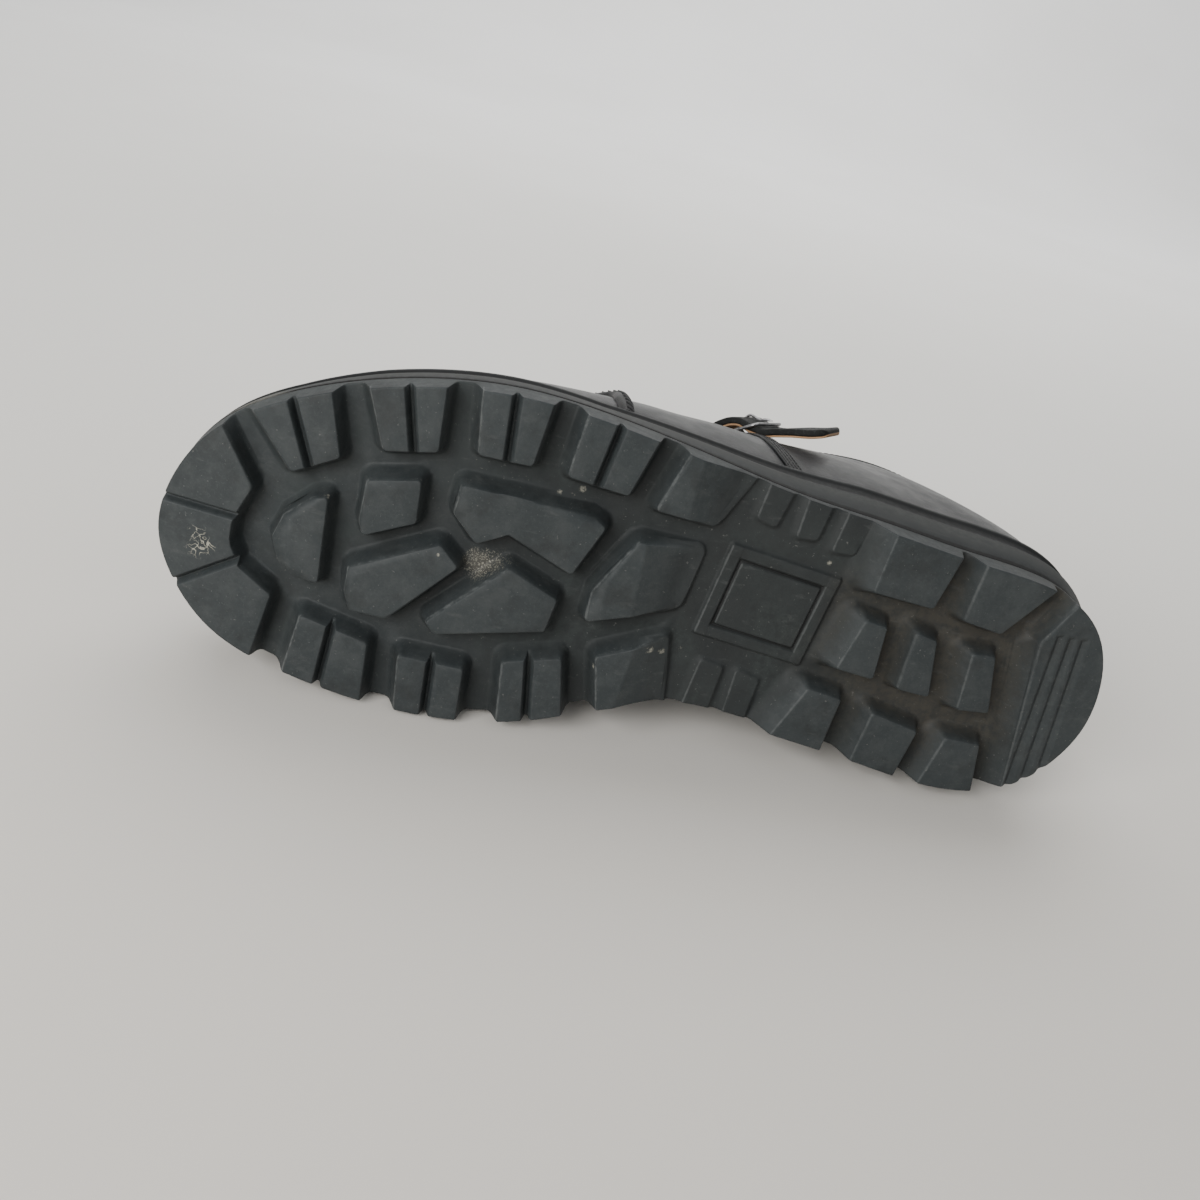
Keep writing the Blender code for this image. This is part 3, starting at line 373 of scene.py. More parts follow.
def mark(mesh, name, values):
    """Keeps one number for each vertex, which a material can read."""
    mesh.attributes.new(name, "FLOAT", "POINT").data.foreach_set("value", np.asarray(values, np.float32))


def outward_faces(mesh):
    """Turns every face of a mesh outwards."""
    work = bmesh.new()
    work.from_mesh(mesh)
    bmesh.ops.recalc_face_normals(work, faces=work.faces)
    work.to_mesh(mesh)
    work.free()


def build(name, points, faces, looks, slot, replaces=(), shown=None, sharp=40.0, up=None):
    """A piece from points in the shoe's frame.

    shown gives the place of each face's material, and up the height that is kept for each point.
    """
    mesh = bpy.data.meshes.new(name)
    mesh.from_pydata(to_row(points).tolist(), [], [list(map(int, face)) for face in faces])
    if shown is not None:
        mesh.polygons.foreach_set("material_index", np.asarray(shown, np.int32))
    outward_faces(mesh)
    mesh.shade_smooth()
    mesh.set_sharp_from_angle(angle=math.radians(sharp))
    if up is not None:
        mark(mesh, "up", up)
    return finished(name, mesh, looks, replaces)


def build_rings(name, rings, look, slot, replaces=(), **more):
    """A piece from a stack of closed rings with flat ends."""
    return build(name, np.vstack(rings), loft(rings, ends=True), [look], slot, replaces, **more)


NOT_ALONG = (0.31, 0.52, 0.79)


def tube_rings(path, radius, sides):
    """Rings around a path, with the radius at each of its points."""
    path = np.asarray(path, float)
    run = unit(np.gradient(path, axis=0))
    side = np.cross(run[0], NOT_ALONG)
    angles = np.arange(sides) * 2 * math.pi / sides
    rings = []
    for point, direction, r in zip(path, run, np.broadcast_to(radius, len(path))):
        side = unit(side - np.dot(side, direction) * direction)
        other = np.cross(direction, side)
        rings.append(point + r * (np.cos(angles)[:, None] * side + np.sin(angles)[:, None] * other))
    return rings


class Heap:
    """Many small shapes that become one piece."""

    def __init__(self):
        self.points, self.faces, self.count = [], [], 0

    def add(self, points, faces):
        self.points.append(points)
        self.faces += [tuple(self.count + corner for corner in face) for face in faces]
        self.count += len(points)

    def tube(self, path, radius, sides=6):
        rings = tube_rings(path, radius, sides)
        self.add(np.vstack(rings), loft(rings, ends=True))

    def done(self, name, look, slot):
        return build(name, np.vstack(self.points), self.faces, [look], slot)


STITCH_SHAPE = (
    # part of its length, rise and width in thread radii
    (0.0, 0.35, 0.45), (0.12, 0.75, 0.85), (0.5, 1.0, 1.0), (0.88, 0.75, 0.85), (1.0, 0.35, 0.45),
)
STITCH_FILL = 0.8
STITCH_SUNK = 0.45


def sew(heap, points, normals, pitch, thread):
    """A row of stitches along a line on a surface: each rises from its hole, lies proud and dives again."""
    length = lengths(points)
    count = max(1, int(length[-1] // pitch))
    for i in range(count):
        start = (i + (1 - STITCH_FILL) / 2) * length[-1] / count
        spots, radii = [], []
        for part, rise, width in STITCH_SHAPE:
            at = start + part * STITCH_FILL * length[-1] / count
            away = unit(sample(normals, length, at))
            spots.append(sample(points, length, at) + away * thread * (rise - STITCH_SUNK))
            radii.append(thread * width)
        heap.tube(spots, radii)


# ---- materials

class Look:
    """A material whose nodes are added by short calls. Every pattern uses the piece's own coordinates."""

    def __init__(self, name, color, roughness, metallic=0.0):
        self.material = bpy.data.materials.new(name)
        self.material.use_nodes = True
        self.tree = self.material.node_tree
        self.shader = self.tree.nodes["Principled BSDF"]
        self.color = (*color, 1.0)
        self.rough = roughness
        self.shader.inputs["Metallic"].default_value = metallic
        self.place = self.tree.nodes.new("ShaderNodeTexCoord").outputs["Object"]
        self.relief = None

    def node(self, kind, inputs, **settings):
        made = self.tree.nodes.new("ShaderNode" + kind)
        for name, value in settings.items():
            setattr(made, name, value)
        for socket, value in inputs.items():
            target = made.inputs[socket]
            if isinstance(value, bpy.types.NodeSocket):
                self.tree.links.new(value, target)
            else:
                target.default_value = value
        return made

    def math(self, operation, a, b=0.0, c=0.0):
        return self.node("Math", {0: a, 1: b, 2: c}, operation=operation).outputs[0]

    def times(self, a, b):
        return self.math("MULTIPLY", a, b)

    def noise(self, size, detail=3.0, rough=0.55, stretch=(1, 1, 1), shift=(0, 0, 0)):
        """Noise from 0 to 1, whose blotches are about size millimetres across."""
        scaled = self.node("Mapping", {"Vector": self.place, "Scale": stretch, "Location": shift}).outputs[0]
        settings = {"Vector": scaled, "Scale": 1 / (size * MM), "Detail": detail, "Roughness": rough}
        return self.node("TexNoise", settings).outputs["Fac"]

    def cells(self, size):
        """The distance from the edges of irregular cells of a size in millimetres."""
        settings = {"Vector": self.place, "Scale": 1 / (size * MM)}
        return self.node("TexVoronoi", settings, feature="DISTANCE_TO_EDGE").outputs["Distance"]

    def span(self, value, low, high, to_low=0.0, to_high=1.0):
        """The value's stretch from low to high as a smooth ramp between two others."""
        inputs = {0: value, 1: low, 2: high, 3: to_low, 4: to_high}
        return self.node("MapRange", inputs, interpolation_type="SMOOTHSTEP", clamp=True).outputs[0]

    def attribute(self, name):
        return self.node("Attribute", {}, attribute_name=name).outputs["Fac"]

    def near(self, spot, radius, ragged=0.35, size=1.6):
        """1 close to a spot in the shoe's frame and 0 beyond the radius, with a ragged edge."""
        ends = {0: self.place, 1: to_row(spot)}
        away = self.node("VectorMath", ends, operation="DISTANCE").outputs["Value"]
        wild = self.math("MULTIPLY_ADD", self.noise(size), 2 * ragged * radius * MM, -ragged * radius * MM)
        return self.span(self.math("ADD", away, wild), radius * MM, 0.35 * radius * MM)

    def paint(self, factor, color):
        """Lays a colour over what is there, by a factor."""
        mixed = self.node("Mix", {0: factor, 6: self.color, 7: (*color, 1.0)}, data_type="RGBA")
        self.color = mixed.outputs[2]

    def blotch(self, size, detail, rough, low, high, amount, color, **form):
        """Lays up to an amount of a colour where noise rises from low to high."""
        self.paint(self.span(self.noise(size, detail, rough, **form), low, high, 0.0, amount), color)

    def shift_roughness(self, factor, amount):
        self.rough = self.math("MULTIPLY_ADD", factor, amount, self.rough)

    def emboss(self, height, depth):
        """Adds to the relief: a height from 0 to 1 that stands depth millimetres proud."""
        inputs = {"Height": height, "Distance": depth * MM, "Strength": 1.0}
        if self.relief is not None:
            inputs["Normal"] = self.relief
        self.relief = self.node("Bump", inputs).outputs["Normal"]

    def done(self, **constants):
        for name, value in (("Base Color", self.color), ("Roughness", self.rough), ("Normal", self.relief)):
            if isinstance(value, bpy.types.NodeSocket):
                self.tree.links.new(value, self.shader.inputs[name])
            elif value is not None:
                self.shader.inputs[name].default_value = value
        for name, value in constants.items():
            self.shader.inputs[name.replace("_", " ")].default_value = value
        return self.material


DUST = (0.033, 0.039, 0.038)
BROWN_DUST = (0.050, 0.044, 0.034)
# the pale of the lugs' rims: wear, and a painted highlight on the rims that face the light
SCUFF_AND_HIGHLIGHT = (0.110, 0.118, 0.118)
RESIDUE = (0.30, 0.29, 0.24)
HEEL_DUST = ((62.0, 8.0, 6.0), (38.0, -4.0, 6.0), (30.0, 16.0, 5.0))
GRIT = ((204.5, 11.0, 7.4), (198.0, 10.5, 7.4))
SCRIBBLE = ((288.0, 4.3, 0.0), (284.8, 1.0, 0.0), (288.0, -0.9, 0.0))
FLAKES = (
    # spot on the sole, radius
    ((165.1, -13.9, 1.0), 1.3),
    ((163.9, -14.6, 2.5), 1.1),
    ((147.6, -5.6, 1.9), 1.6),
    ((143.4, -6.4, 3.6), 1.4),
    ((137.2, -6.1, 6.5), 1.3),
    ((178.5, 40.5, 7.2), 1.3),
    ((181.0, 38.4, 7.2), 1.0),
    ((185.1, 38.9, 6.5), 1.1),
    ((139.2, -21.2, 0.0), 0.7),
    ((217.1, 14.5, 0.0), 0.7),
    ((251.3, 25.1, 1.5), 1.1),
    ((98.6, 31.5, 6.8), 1.1),
    ((57.0, 39.0, 5.0), 0.8),
    ((63.7, 14.6, 3.0), 1.1),
)
TOE_SCUFF = (277.0, 47.0, 18.0)


def on_tread(x, y, height):
    """A spot on the tread, by its height over the ground before toe spring."""
    return x, y, height + float(spring(x))


def sole_rubber():
    """Charcoal rubber: dusty and darkened with painted shade in its recesses, browner at the heel, with pale
    rims of wear and painted highlight, near-black painted shade in the plate's channel and along the sole's
    top edge, and residue.
    """
    look = Look("sole_rubber", (0.0208, 0.0262, 0.0280), 0.58)
    deep = look.attribute("deep")
    edge = look.attribute("edge")
    fine = look.noise(2.4, 6.0, 0.7)
    look.blotch(38.0, 4.0, 0.55, 0.35, 0.70, 0.60, (0.0285, 0.035, 0.037))
    look.blotch(7.0, 8.0, 0.72, 0.40, 0.66, 0.60, (0.039, 0.0445, 0.0455))
    look.blotch(1.1, 4.0, 0.75, 0.50, 0.72, 0.45, (0.046, 0.052, 0.053))
    look.blotch(11.0, 6.0, 0.65, 0.48, 0.70, 0.60, (0.014, 0.0165, 0.017), shift=(3.0, 1.0, 2.0))
    # painted shade: the recesses are darkened, the more so towards the heel, where less light falls
    back = look.node("SeparateXYZ", {"Vector": look.place}).outputs["X"]
    behind = look.span(back, -0.13, 0.0, 0.15, 1.0)
    look.paint(look.times(look.span(deep, 0.15, 1.0, 0.0, 0.72), behind), (0.009, 0.0108, 0.011))
    dusty = look.times(deep, look.span(look.noise(24.0, 5.0, 0.6), 0.38, 0.66))
    look.paint(look.times(dusty, look.span(fine, 0.35, 0.65, 0.15, 0.75)), DUST)
    heel = [look.near(on_tread(*spot), 44.0, 0.4, 20.0) for spot in HEEL_DUST]
    heel = look.math("MAXIMUM", look.math("MAXIMUM", *heel[:2]), heel[2])
    muddy = look.times(look.times(heel, deep), look.span(fine, 0.25, 0.65, 0.1, 0.7))
    look.paint(muddy, BROWN_DUST)
    # pale rims: part wear, part a painted highlight on the rims that face the light at the toe, painted weaker
    # at the heel
    pale_mark = look.span(look.math("MULTIPLY_ADD", look.noise(3.0, 7.0, 0.75), 1.6, edge), 1.2, 1.75)
    pale_mark = look.times(pale_mark, look.span(back, -0.03, 0.03, 1.0, 0.4))
    look.paint(look.times(pale_mark, look.span(edge, 0.05, 0.5, 0.0, 0.85)), SCUFF_AND_HIGHLIGHT)
    # painted shade: near black in the label plate's channel and on the sole's upper side and top, in the gap
    # under the rand
    look.paint(look.times(look.attribute("channel"), 0.85), (0.004, 0.0045, 0.0045))
    look.blotch(9.0, 6.0, 0.65, 0.58, 0.76, 0.3, (0.080, 0.084, 0.082), stretch=(1.0, 1.0, 3.0))
    specks = look.times(look.span(look.noise(0.8, 2.0, 0.5), 0.66, 0.72), look.span(fine, 0.5, 0.6))
    look.paint(look.times(specks, 0.45), (0.16, 0.16, 0.15))
    grains = look.span(look.noise(0.5, 2.0, 0.6), 0.53, 0.60)
    for spot in GRIT:
        look.paint(look.near(on_tread(*spot), 5.5, 0.5, 3.0), (0.060, 0.058, 0.050))
        sandy = look.times(look.near(on_tread(*spot), 7.0, 0.5, 3.0), grains)
        look.paint(look.times(sandy, 0.6), RESIDUE)
    loops = look.math("ABSOLUTE", look.math("SUBTRACT", look.noise(1.7, 1.0, 0.5), 0.5))
    lines = look.span(loops, 0.012, 0.035, 1.0, 0.0)
    for spot in SCRIBBLE:
        look.paint(look.times(look.near(on_tread(*spot), 3.4, 0.4, 1.2), lines), RESIDUE)
    crumbs = look.span(fine, 0.42, 0.54, 0.0, 0.8)
    for spot, radius in FLAKES:
        look.paint(look.times(look.near(on_tread(*spot), radius, 0.6, 0.8), crumbs), RESIDUE)
    look.shift_roughness(look.span(fine, 0.3, 0.7), 0.12)
    look.shift_roughness(dusty, 0.2)
    look.emboss(look.noise(0.5, 3.0, 0.6), 0.03)
    look.emboss(look.noise(3.5, 4.0, 0.6), 0.08)
    return look.done(Specular_IOR_Level=0.40)


def rand_rubber():
    """Smooth rubber: a slanting band lightened with painted light, over a parting line and a cove darkened
    with painted shade, and a paler lip.
    """
    look = Look("rand_rubber", (0.018, 0.0205, 0.0215), 0.50)
    up = look.attribute("up")
    fine = look.noise(2.0, 6.0, 0.7)
    look.blotch(16.0, 5.0, 0.55, 0.42, 0.72, 0.45, (0.040, 0.042, 0.041))
    look.blotch(2.2, 4.0, 0.6, 0.58, 0.74, 0.30, (0.055, 0.057, 0.055), stretch=(0.12, 1.0, 1.0))
    # painted light: the slanting band is lightened where light falls on it
    band = look.times(look.span(up, 0.10, 0.40), look.span(up, 0.52, 0.44))
    look.paint(look.times(band, look.span(fine, 0.3, 0.7, 0.35, 0.85)), (0.060, 0.063, 0.061))
    # painted shade in the cove, whose upper part turns away from the light
    cove = look.times(look.span(up, 0.46, 0.58), look.span(up, 0.93, 0.84))
    look.paint(look.times(cove, 0.85), (0.005, 0.0055, 0.006))
    # painted shade: a dark line at the rand's foot, in the gap over the sole
    look.paint(look.span(up, 0.12, 0.07, 0.0, 0.9), (0.003, 0.003, 0.003))
    scuffed = look.times(look.near(TOE_SCUFF, 13.0, 0.4, 4.0), look.span(fine, 0.3, 0.65, 0.15, 0.9))
    look.paint(scuffed, (0.115, 0.113, 0.100))
    look.shift_roughness(look.span(fine, 0.3, 0.7), 0.12)
    look.shift_roughness(band, 0.12)
    look.emboss(look.noise(0.45, 2.0, 0.5), 0.012)
    look.emboss(look.noise(4.0, 3.0, 0.5), 0.04)
    return look.done(Specular_IOR_Level=0.22)


def leather(name, color, roughness, grain, depth, pale_mark):
    """Smooth leather: a fine pebbled grain over soft waves, a little paler where it has rubbed."""
    look = Look(name, color, roughness)
    look.blotch(14.0, 4.0, 0.55, 0.5, 0.8, 0.35, pale_mark)
    look.shift_roughness(look.span(look.noise(6.0, 4.0), 0.3, 0.7), 0.08)
    look.emboss(look.span(look.cells(grain), 0.0, 0.35), depth)
    look.emboss(look.noise(0.35, 2.0, 0.5), depth / 3)
    look.emboss(look.noise(7.0, 3.0, 0.5), 0.08)
    return look


def black_leather():
    """Satin black, duller where it goes down behind the lip, and darkened there with painted shade."""
    look = leather("black_leather", (0.008, 0.0089, 0.0108), 0.36, 0.8, 0.022, (0.015, 0.0158, 0.018))
    # painted shade low on the wall, where it goes down behind the lip
    low = look.span(look.attribute("up"), 0.16, 0.03)
    look.paint(look.times(low, 0.8), (0.003, 0.003, 0.0032))
    look.shift_roughness(low, 0.2)
    return look.done(Specular_IOR_Level=0.34)


def seam_leather():
    """Duller than the upper, for the ridge and the overlays."""
    look = leather("seam_leather", (0.006, 0.0063, 0.007), 0.42, 0.8, 0.02, (0.012, 0.0125, 0.013))
    return look.done(Specular_IOR_Level=0.25)


def strap_leather():
    """Rougher than the upper, with coarse pebbles and paler spots."""
    look = leather("strap_leather", (0.006, 0.0066, 0.0066), 0.62, 0.7, 0.03, (0.018, 0.019, 0.019))
    pebbles = look.noise(1.0, 4.0, 0.68)
    look.paint(look.span(pebbles, 0.50, 0.68, 0.0, 0.6), (0.032, 0.035, 0.034))
    look.emboss(pebbles, 0.16)
    return look.done(Specular_IOR_Level=0.25)


def tan_leather():
    """Natural leather, for the linings and the footbed."""
    look = leather("tan_leather", (0.40, 0.235, 0.125), 0.62, 0.6, 0.03, (0.28, 0.155, 0.08))
    look.blotch(3.0, 5.0, 0.7, 0.55, 0.75, 0.5, (0.30, 0.17, 0.09))
    return look.done()


def thread(name, color):
    """Twisted thread, paler along its strands."""
    look = Look(name, color, 0.6)
    settings = {"Vector": look.place, "Scale": 1 / (5.4 * MM), "Distortion": 2.0}
    twist = look.node("TexWave", settings).outputs["Fac"]
    look.paint(look.span(twist, 0.2, 0.9, 0.0, 0.5), tuple(1.8 * part for part in color))
    look.emboss(twist, 0.05)
    return look.done()


def buckle_metal():
    """Scuffed pale metal with darker patches."""
    look = Look("buckle_metal", (0.33, 0.33, 0.34), 0.28, metallic=1.0)
    look.blotch(2.5, 5.0, 0.65, 0.48, 0.72, 0.6, (0.12, 0.115, 0.11))
    look.shift_roughness(look.span(look.noise(1.2, 5.0, 0.7), 0.35, 0.7), 0.25)
    look.emboss(look.noise(0.8, 4.0, 0.6), 0.02)
    return look.done()


def floor_look():
    """Pale paint, with painted light and shade: a little warmer and darker near the camera and brighter
    towards the backdrop.
    """
    look = Look("floor", (0.64, 0.605, 0.56), 0.75)
    ahead = look.node("SeparateXYZ", {"Vector": look.place}).outputs["Y"]
    # painted shade near the camera and painted light towards the backdrop, in place of the fall of light
    look.paint(look.span(ahead, -0.25, 0.35), (0.83, 0.82, 0.785))
    look.paint(look.span(ahead, 0.3, 1.6), (0.97, 0.97, 0.965))
    look.blotch(420.0, 3.0, 0.55, 0.3, 0.7, 0.2, (0.72, 0.70, 0.66))
    look.emboss(look.noise(1.5, 3.0), 0.02)
    return look.done()


SOLE_RUBBER = sole_rubber()
RAND_RUBBER = rand_rubber()
BLACK_LEATHER = black_leather()
SEAM_LEATHER = seam_leather()
STRAP_LEATHER = strap_leather()
TAN_LEATHER = tan_leather()
BLACK_THREAD = thread("black_thread", (0.010, 0.0105, 0.011))
METAL = buckle_metal()


# ---- outsole

RIB_TOP = 6.2
DRAFT = 1.4
RIB_DRAFT = 0.9
BEYOND = 9.0
SLOPE_RUN = 14.0


def lug(corners, edge=True, front=DRAFT, top=0.0, draft=DRAFT, split=None, slope=None):
    """One convex lug by its ground face, as in the part: outer front, outer rear, inner rear, inner front."""
    corners = np.array(corners, float)
    if edge:
        for outer, inner in ((0, 3), (1, 2)):
            corners[outer] += unit(corners[outer] - corners[inner]) * BEYOND
    drafts = np.full(len(corners), draft)
    drafts[-1] = front
    return {"corners": corners, "drafts": drafts, "top": top, "split": split, "slope": slope}


def rib(corners):
    return lug(corners, top=RIB_TOP, draft=RIB_DRAFT)


def inner_lug(corners, **sizes):
    """A lug that keeps its corners, because no side of it has to reach past the outline."""
    return lug(corners, edge=False, **sizes)


LUGS = [
    # lateral side
    lug(((275.2, 46.0), (253.2, 56.0), (248.7, 37.5), (262.3, 30.0)), front=3.0,
        split=((264.3, 51.5), (257.3, 32.8))),
    lug(((243.3, 60.0), (222.0, 64.3), (221.6, 45.3), (237.2, 42.4)), front=2.2,
        split=((232.3, 62.0), (228.6, 44.2))),
    lug(((212.3, 65.8), (192.0, 66.0), (194.6, 46.7), (210.6, 47.0)), front=1.8,
        split=((202.7, 66.0), (202.0, 46.9))),
    lug(((182.0, 64.5), (160.4, 61.0), (165.6, 43.2), (184.2, 45.6)), front=1.8,
        split=((172.2, 62.5), (175.2, 44.4))),
    lug(((150.6, 59.3), (130.0, 55.0), (137.6, 38.4), (156.6, 40.4)), front=1.8,
        slope=((146.2, 62.0), (147.2, 36.0), 6.0)),
    lug(((83.2, 47.0), (60.6, 43.7), (64.2, 25.0), (84.6, 27.0)), front=8.0),
    lug(((52.4, 42.3), (27.6, 38.2), (40.0, 20.5), (53.4, 22.8)), front=3.6),
    rib(((123.7, 53.0), (116.0, 51.8), (118.6, 40.0), (125.0, 41.8))),
    rib(((110.9, 50.0), (103.3, 49.0), (104.8, 38.2), (111.4, 38.0))),
    rib(((97.7, 48.4), (89.8, 47.4), (92.0, 35.7), (99.2, 35.5))),
    # medial side
    lug(((258.6, -35.3), (233.4, -40.2), (233.6, -19.2), (255.0, -14.6)), front=2.4,
        split=((247.4, -37.8), (245.2, -16.4))),
    lug(((222.8, -41.2), (203.0, -41.5), (203.4, -22.0), (224.0, -21.2)), front=1.8,
        split=((213.2, -41.2), (213.6, -21.6))),
    lug(((190.4, -38.6), (170.4, -33.2), (174.2, -12.6), (192.2, -17.0)), front=1.8,
        split=((181.4, -35.8), (184.2, -14.8))),
    lug(((160.0, -29.2), (140.0, -23.6), (143.2, -1.0), (164.0, -10.2)), front=2.2,
        slope=((155.4, -32.0), (152.4, -2.0), 6.0)),
    lug(((102.4, -28.2), (84.4, -31.3), (83.0, -11.0), (94.8, -9.0)), front=6.5),
    lug(((73.4, -33.0), (57.2, -36.4), (54.5, -18.2), (71.4, -14.0)), front=4.6),
    lug(((48.0, -37.5), (28.8, -37.4), (32.2, -19.2), (44.4, -18.8)), front=4.6),
    rib(((131.8, -24.0), (123.2, -24.0), (122.1, -9.7), (129.8, -8.2))),
    rib(((118.0, -24.5), (110.4, -25.5), (109.4, -12.2), (117.5, -9.7))),
    # middle, from the toe to the heel
    inner_lug(((250.8, 25.0), (250.8, -3.0), (258.2, -3.0), (263.8, 1.4), (266.2, 8.6), (263.4, 16.6),
               (255.4, 24.2))),
    inner_lug(((225.0, 36.4), (224.6, 22.6), (239.6, 15.4), (241.6, 19.4), (240.6, 33.0))),
    inner_lug(((242.8, 4.6), (216.8, 17.8), (210.4, 11.4), (229.4, -10.4), (240.8, -9.6), (243.2, -4.0))),
    inner_lug(((197.9, 24.5), (206.8, 19.8), (214.8, 28.0), (213.6, 37.5), (192.0, 36.6))),
    inner_lug(((203.0, 37.1), (174.0, 35.4), (169.8, 32.3), (177.0, 15.4), (203.0, 27.0))),
    inner_lug(((195.8, 14.4), (179.4, 6.8), (181.2, -4.8), (214.4, -12.2), (217.8, -8.3))),
    inner_lug(((159.6, 30.0), (139.6, 28.8), (142.0, 9.4), (169.8, 0.9), (170.0, 11.4)),
        slope=((157.0, 34.0), (156.4, 0.0), 5.6)),
    inner_lug(((83.8, 17.6), (76.4, 16.6), (75.2, -2.4), (88.2, -0.8)), front=7.0),
    inner_lug(((66.6, 16.6), (59.2, 14.8), (55.2, -5.4), (66.6, -4.4)), front=2.6),
    inner_lug(((46.4, 12.6), (38.7, 13.0), (33.6, -7.6), (44.6, -8.2)), front=5.0),
    # toe pieces and heel
    inner_lug(((290.0, 50.1), (272.6, 22.8), (296.5, -29.6), (325.0, -30.0), (325.0, 50.0))),
    inner_lug(((277.2, 24.0), (279.5, -22.0), (320.0, -22.0), (320.0, 24.0))),
    inner_lug(((282.9, 14.0), (274.6, -3.6), (280.0, -30.0), (320.0, -30.0), (320.0, 14.0))),
    inner_lug(((264.3, -10.2), (271.5, -45.0), (320.0, -45.0), (320.0, 25.5))),
    inner_lug(((26.4, 20.4), (16.0, 41.0), (-12.0, 41.0), (-12.0, -45.0), (17.4, -45.0)), front=6.5),
]
PLATE = {"x": 114.0, "y": 14.0, "turn": 8.4, "length": 36.5, "width": 31.5, "frame": 3.4, "channel": 1.6}
PLATE_DRAFT = 0.6
GROOVES = (
    # from x, from y, to x, to y, half width of the floor, run of a side, depth
    (303.0, 13.6, 272.0, 12.2, 0.4, 0.7, 2.4),
    (299.0, -17.0, 271.0, 2.0, 0.4, 0.7, 2.4),
    (20.8, 23.0, 17.2, -40.0, 0.3, 0.9, 1.1),
    (16.7, 23.0, 12.3, -40.0, 0.3, 0.9, 1.1),
    (12.5, 23.0, 7.6, -36.0, 0.3, 0.9, 1.1),
)
SPLIT_GROOVE = (0.5, 0.7, 3.6)
SPLIT_REACH = 3.0
RIM_ROUND = 0.55
FOOT_ROUND = 1.7
MOST_RIM = 0.45
MOST_FOOT = 1.2
RIM_LEVELS = (-1, -0.35, 0.3, 1)
FOOT_LEVELS = (-0.6, 0.0, 0.5, 1)
SLOPE_ROUND = 0.25
EDGE_ROUND = 0.5
ROUND_POWER = 7
LUG_CORNER = 1.3
PLATE_CORNER = 0.5
CORNER_STEPS = 5
# the band of pale rim, for wear and a painted highlight
WEAR_AND_HIGHLIGHT_CENTRE = 0.05
WEAR_AND_HIGHLIGHT_REACH = 0.62
WEAR_AND_HIGHLIGHT_BEHIND = 0.3


def plate_lugs():
    """The label plate's four frame bars and its bare inner plate."""
    turn = math.radians(PLATE["turn"])
    long_way = np.array((-math.cos(turn), -math.sin(turn)))
    wide_way = np.array((math.sin(turn), -math.cos(turn)))
    half = np.array((PLATE["length"], PLATE["width"])) / 2
    window = half - PLATE["frame"]
    inner = window - PLATE["channel"]
    boxes = ((-half, (-window[0], half[1])), ((window[0], -half[1]), half), (-half, (half[0], -window[1])),
             ((-half[0], window[1]), half), (-inner, inner))
    made = []
    for low, high in boxes:
        spots = ((low[0], low[1]), (high[0], low[1]), (high[0], high[1]), (low[0], high[1]))
        corners = [np.array((PLATE["x"], PLATE["y"])) + long_way * a + wide_way * b for a, b in spots]
        made.append(inner_lug(corners, front=PLATE_DRAFT, top=RIB_TOP, draft=PLATE_DRAFT))
    return made


def on_plate(points):
    """Which points lie within the label plate's frame."""
    turn = math.radians(PLATE["turn"])
    away = points - (PLATE["x"], PLATE["y"])
    along_plate = np.abs(away @ (math.cos(turn), math.sin(turn)))
    aside = np.abs(away @ (-math.sin(turn), math.cos(turn)))
    return (along_plate < PLATE["length"] / 2 - 1) & (aside < PLATE["width"] / 2 - 1)


class Cell:
    """A convex polygon whose wall runs out by each edge's draft, soft at its corners, rim and foot."""

    def __init__(self, corners, drafts, rim, foot, round_by=0.0):
        self.corners = np.asarray(corners, float)
        self.drafts = np.asarray(drafts, float)
        run = np.roll(self.corners, -1, axis=0) - self.corners
        area = np.sum(self.corners[:, 0] * np.roll(self.corners[:, 1], -1)
                      - np.roll(self.corners[:, 0], -1) * self.corners[:, 1])
        self.normals = unit(np.c_[run[:, 1], -run[:, 0]]) * math.copysign(1, area)
        self.offsets = np.sum(self.normals * self.corners, axis=1)
        self.rim = np.minimum(rim, MOST_RIM * self.drafts)
        self.foot = np.minimum(foot, MOST_FOOT * self.drafts)
        self.round_by = round_by

    def beyond(self, points):
        """How far each point lies outside the rounded polygon, and how much each edge has a part in it."""
        out = points @ self.normals.T - self.offsets
        reach = np.maximum(out + self.round_by, 0) ** 2
        total = reach.sum(axis=1)
        away = np.where(total > 0, np.sqrt(total) - self.round_by, out.max(axis=1))
        return away, reach / np.maximum(total, 1e-9)[:, None]

    def fall(self, points):
        """0 over the cell's face and 1 beyond its foot, softly turned in between."""
        if not self.round_by:
            out = points @ self.normals.T - self.offsets
            falls = (bend(out, self.rim) - bend(out - self.drafts, self.foot)) / self.drafts
            return np.minimum(np.sum(falls**ROUND_POWER, axis=1) ** (1 / ROUND_POWER), 1)
        away, share = self.beyond(points)
        draft, rim, foot = (share @ sizes + 1e-9 for sizes in (self.drafts, self.rim, self.foot))
        return np.clip((bend(away, rim) - bend(away - draft, foot)) / draft, 0, 1)

    def ring(self, out):
        """The polygon moved out by a distance for each edge, with its corners rounded."""
        inner = self.offsets - self.round_by
        count = len(self.corners)
        ring = []
        for i in range(count):
            centre = np.linalg.solve((self.normals[i - 1], self.normals[i]), (inner[i - 1], inner[i]))
            for part in np.linspace(0, 1, CORNER_STEPS):
                way = unit((1 - part) * self.normals[i - 1] + part * self.normals[i])
                ring.append(centre + way * (self.round_by + (1 - part) * out[i - 1] + part * out[i]))
        return ring

    def rings(self):
        """The polygons at which the wall bends."""
        levels = [self.rim * part for part in RIM_LEVELS]
        levels += [self.drafts + self.foot * part for part in FOOT_LEVELS]
        return [self.ring(level) for level in levels]


def bend(x, width):
    """0 below 0 and x above it, turned smoothly over a width either side."""
    return np.where(x < -width, 0, np.where(x > width, x, (x + width) ** 2 / (4 * width)))


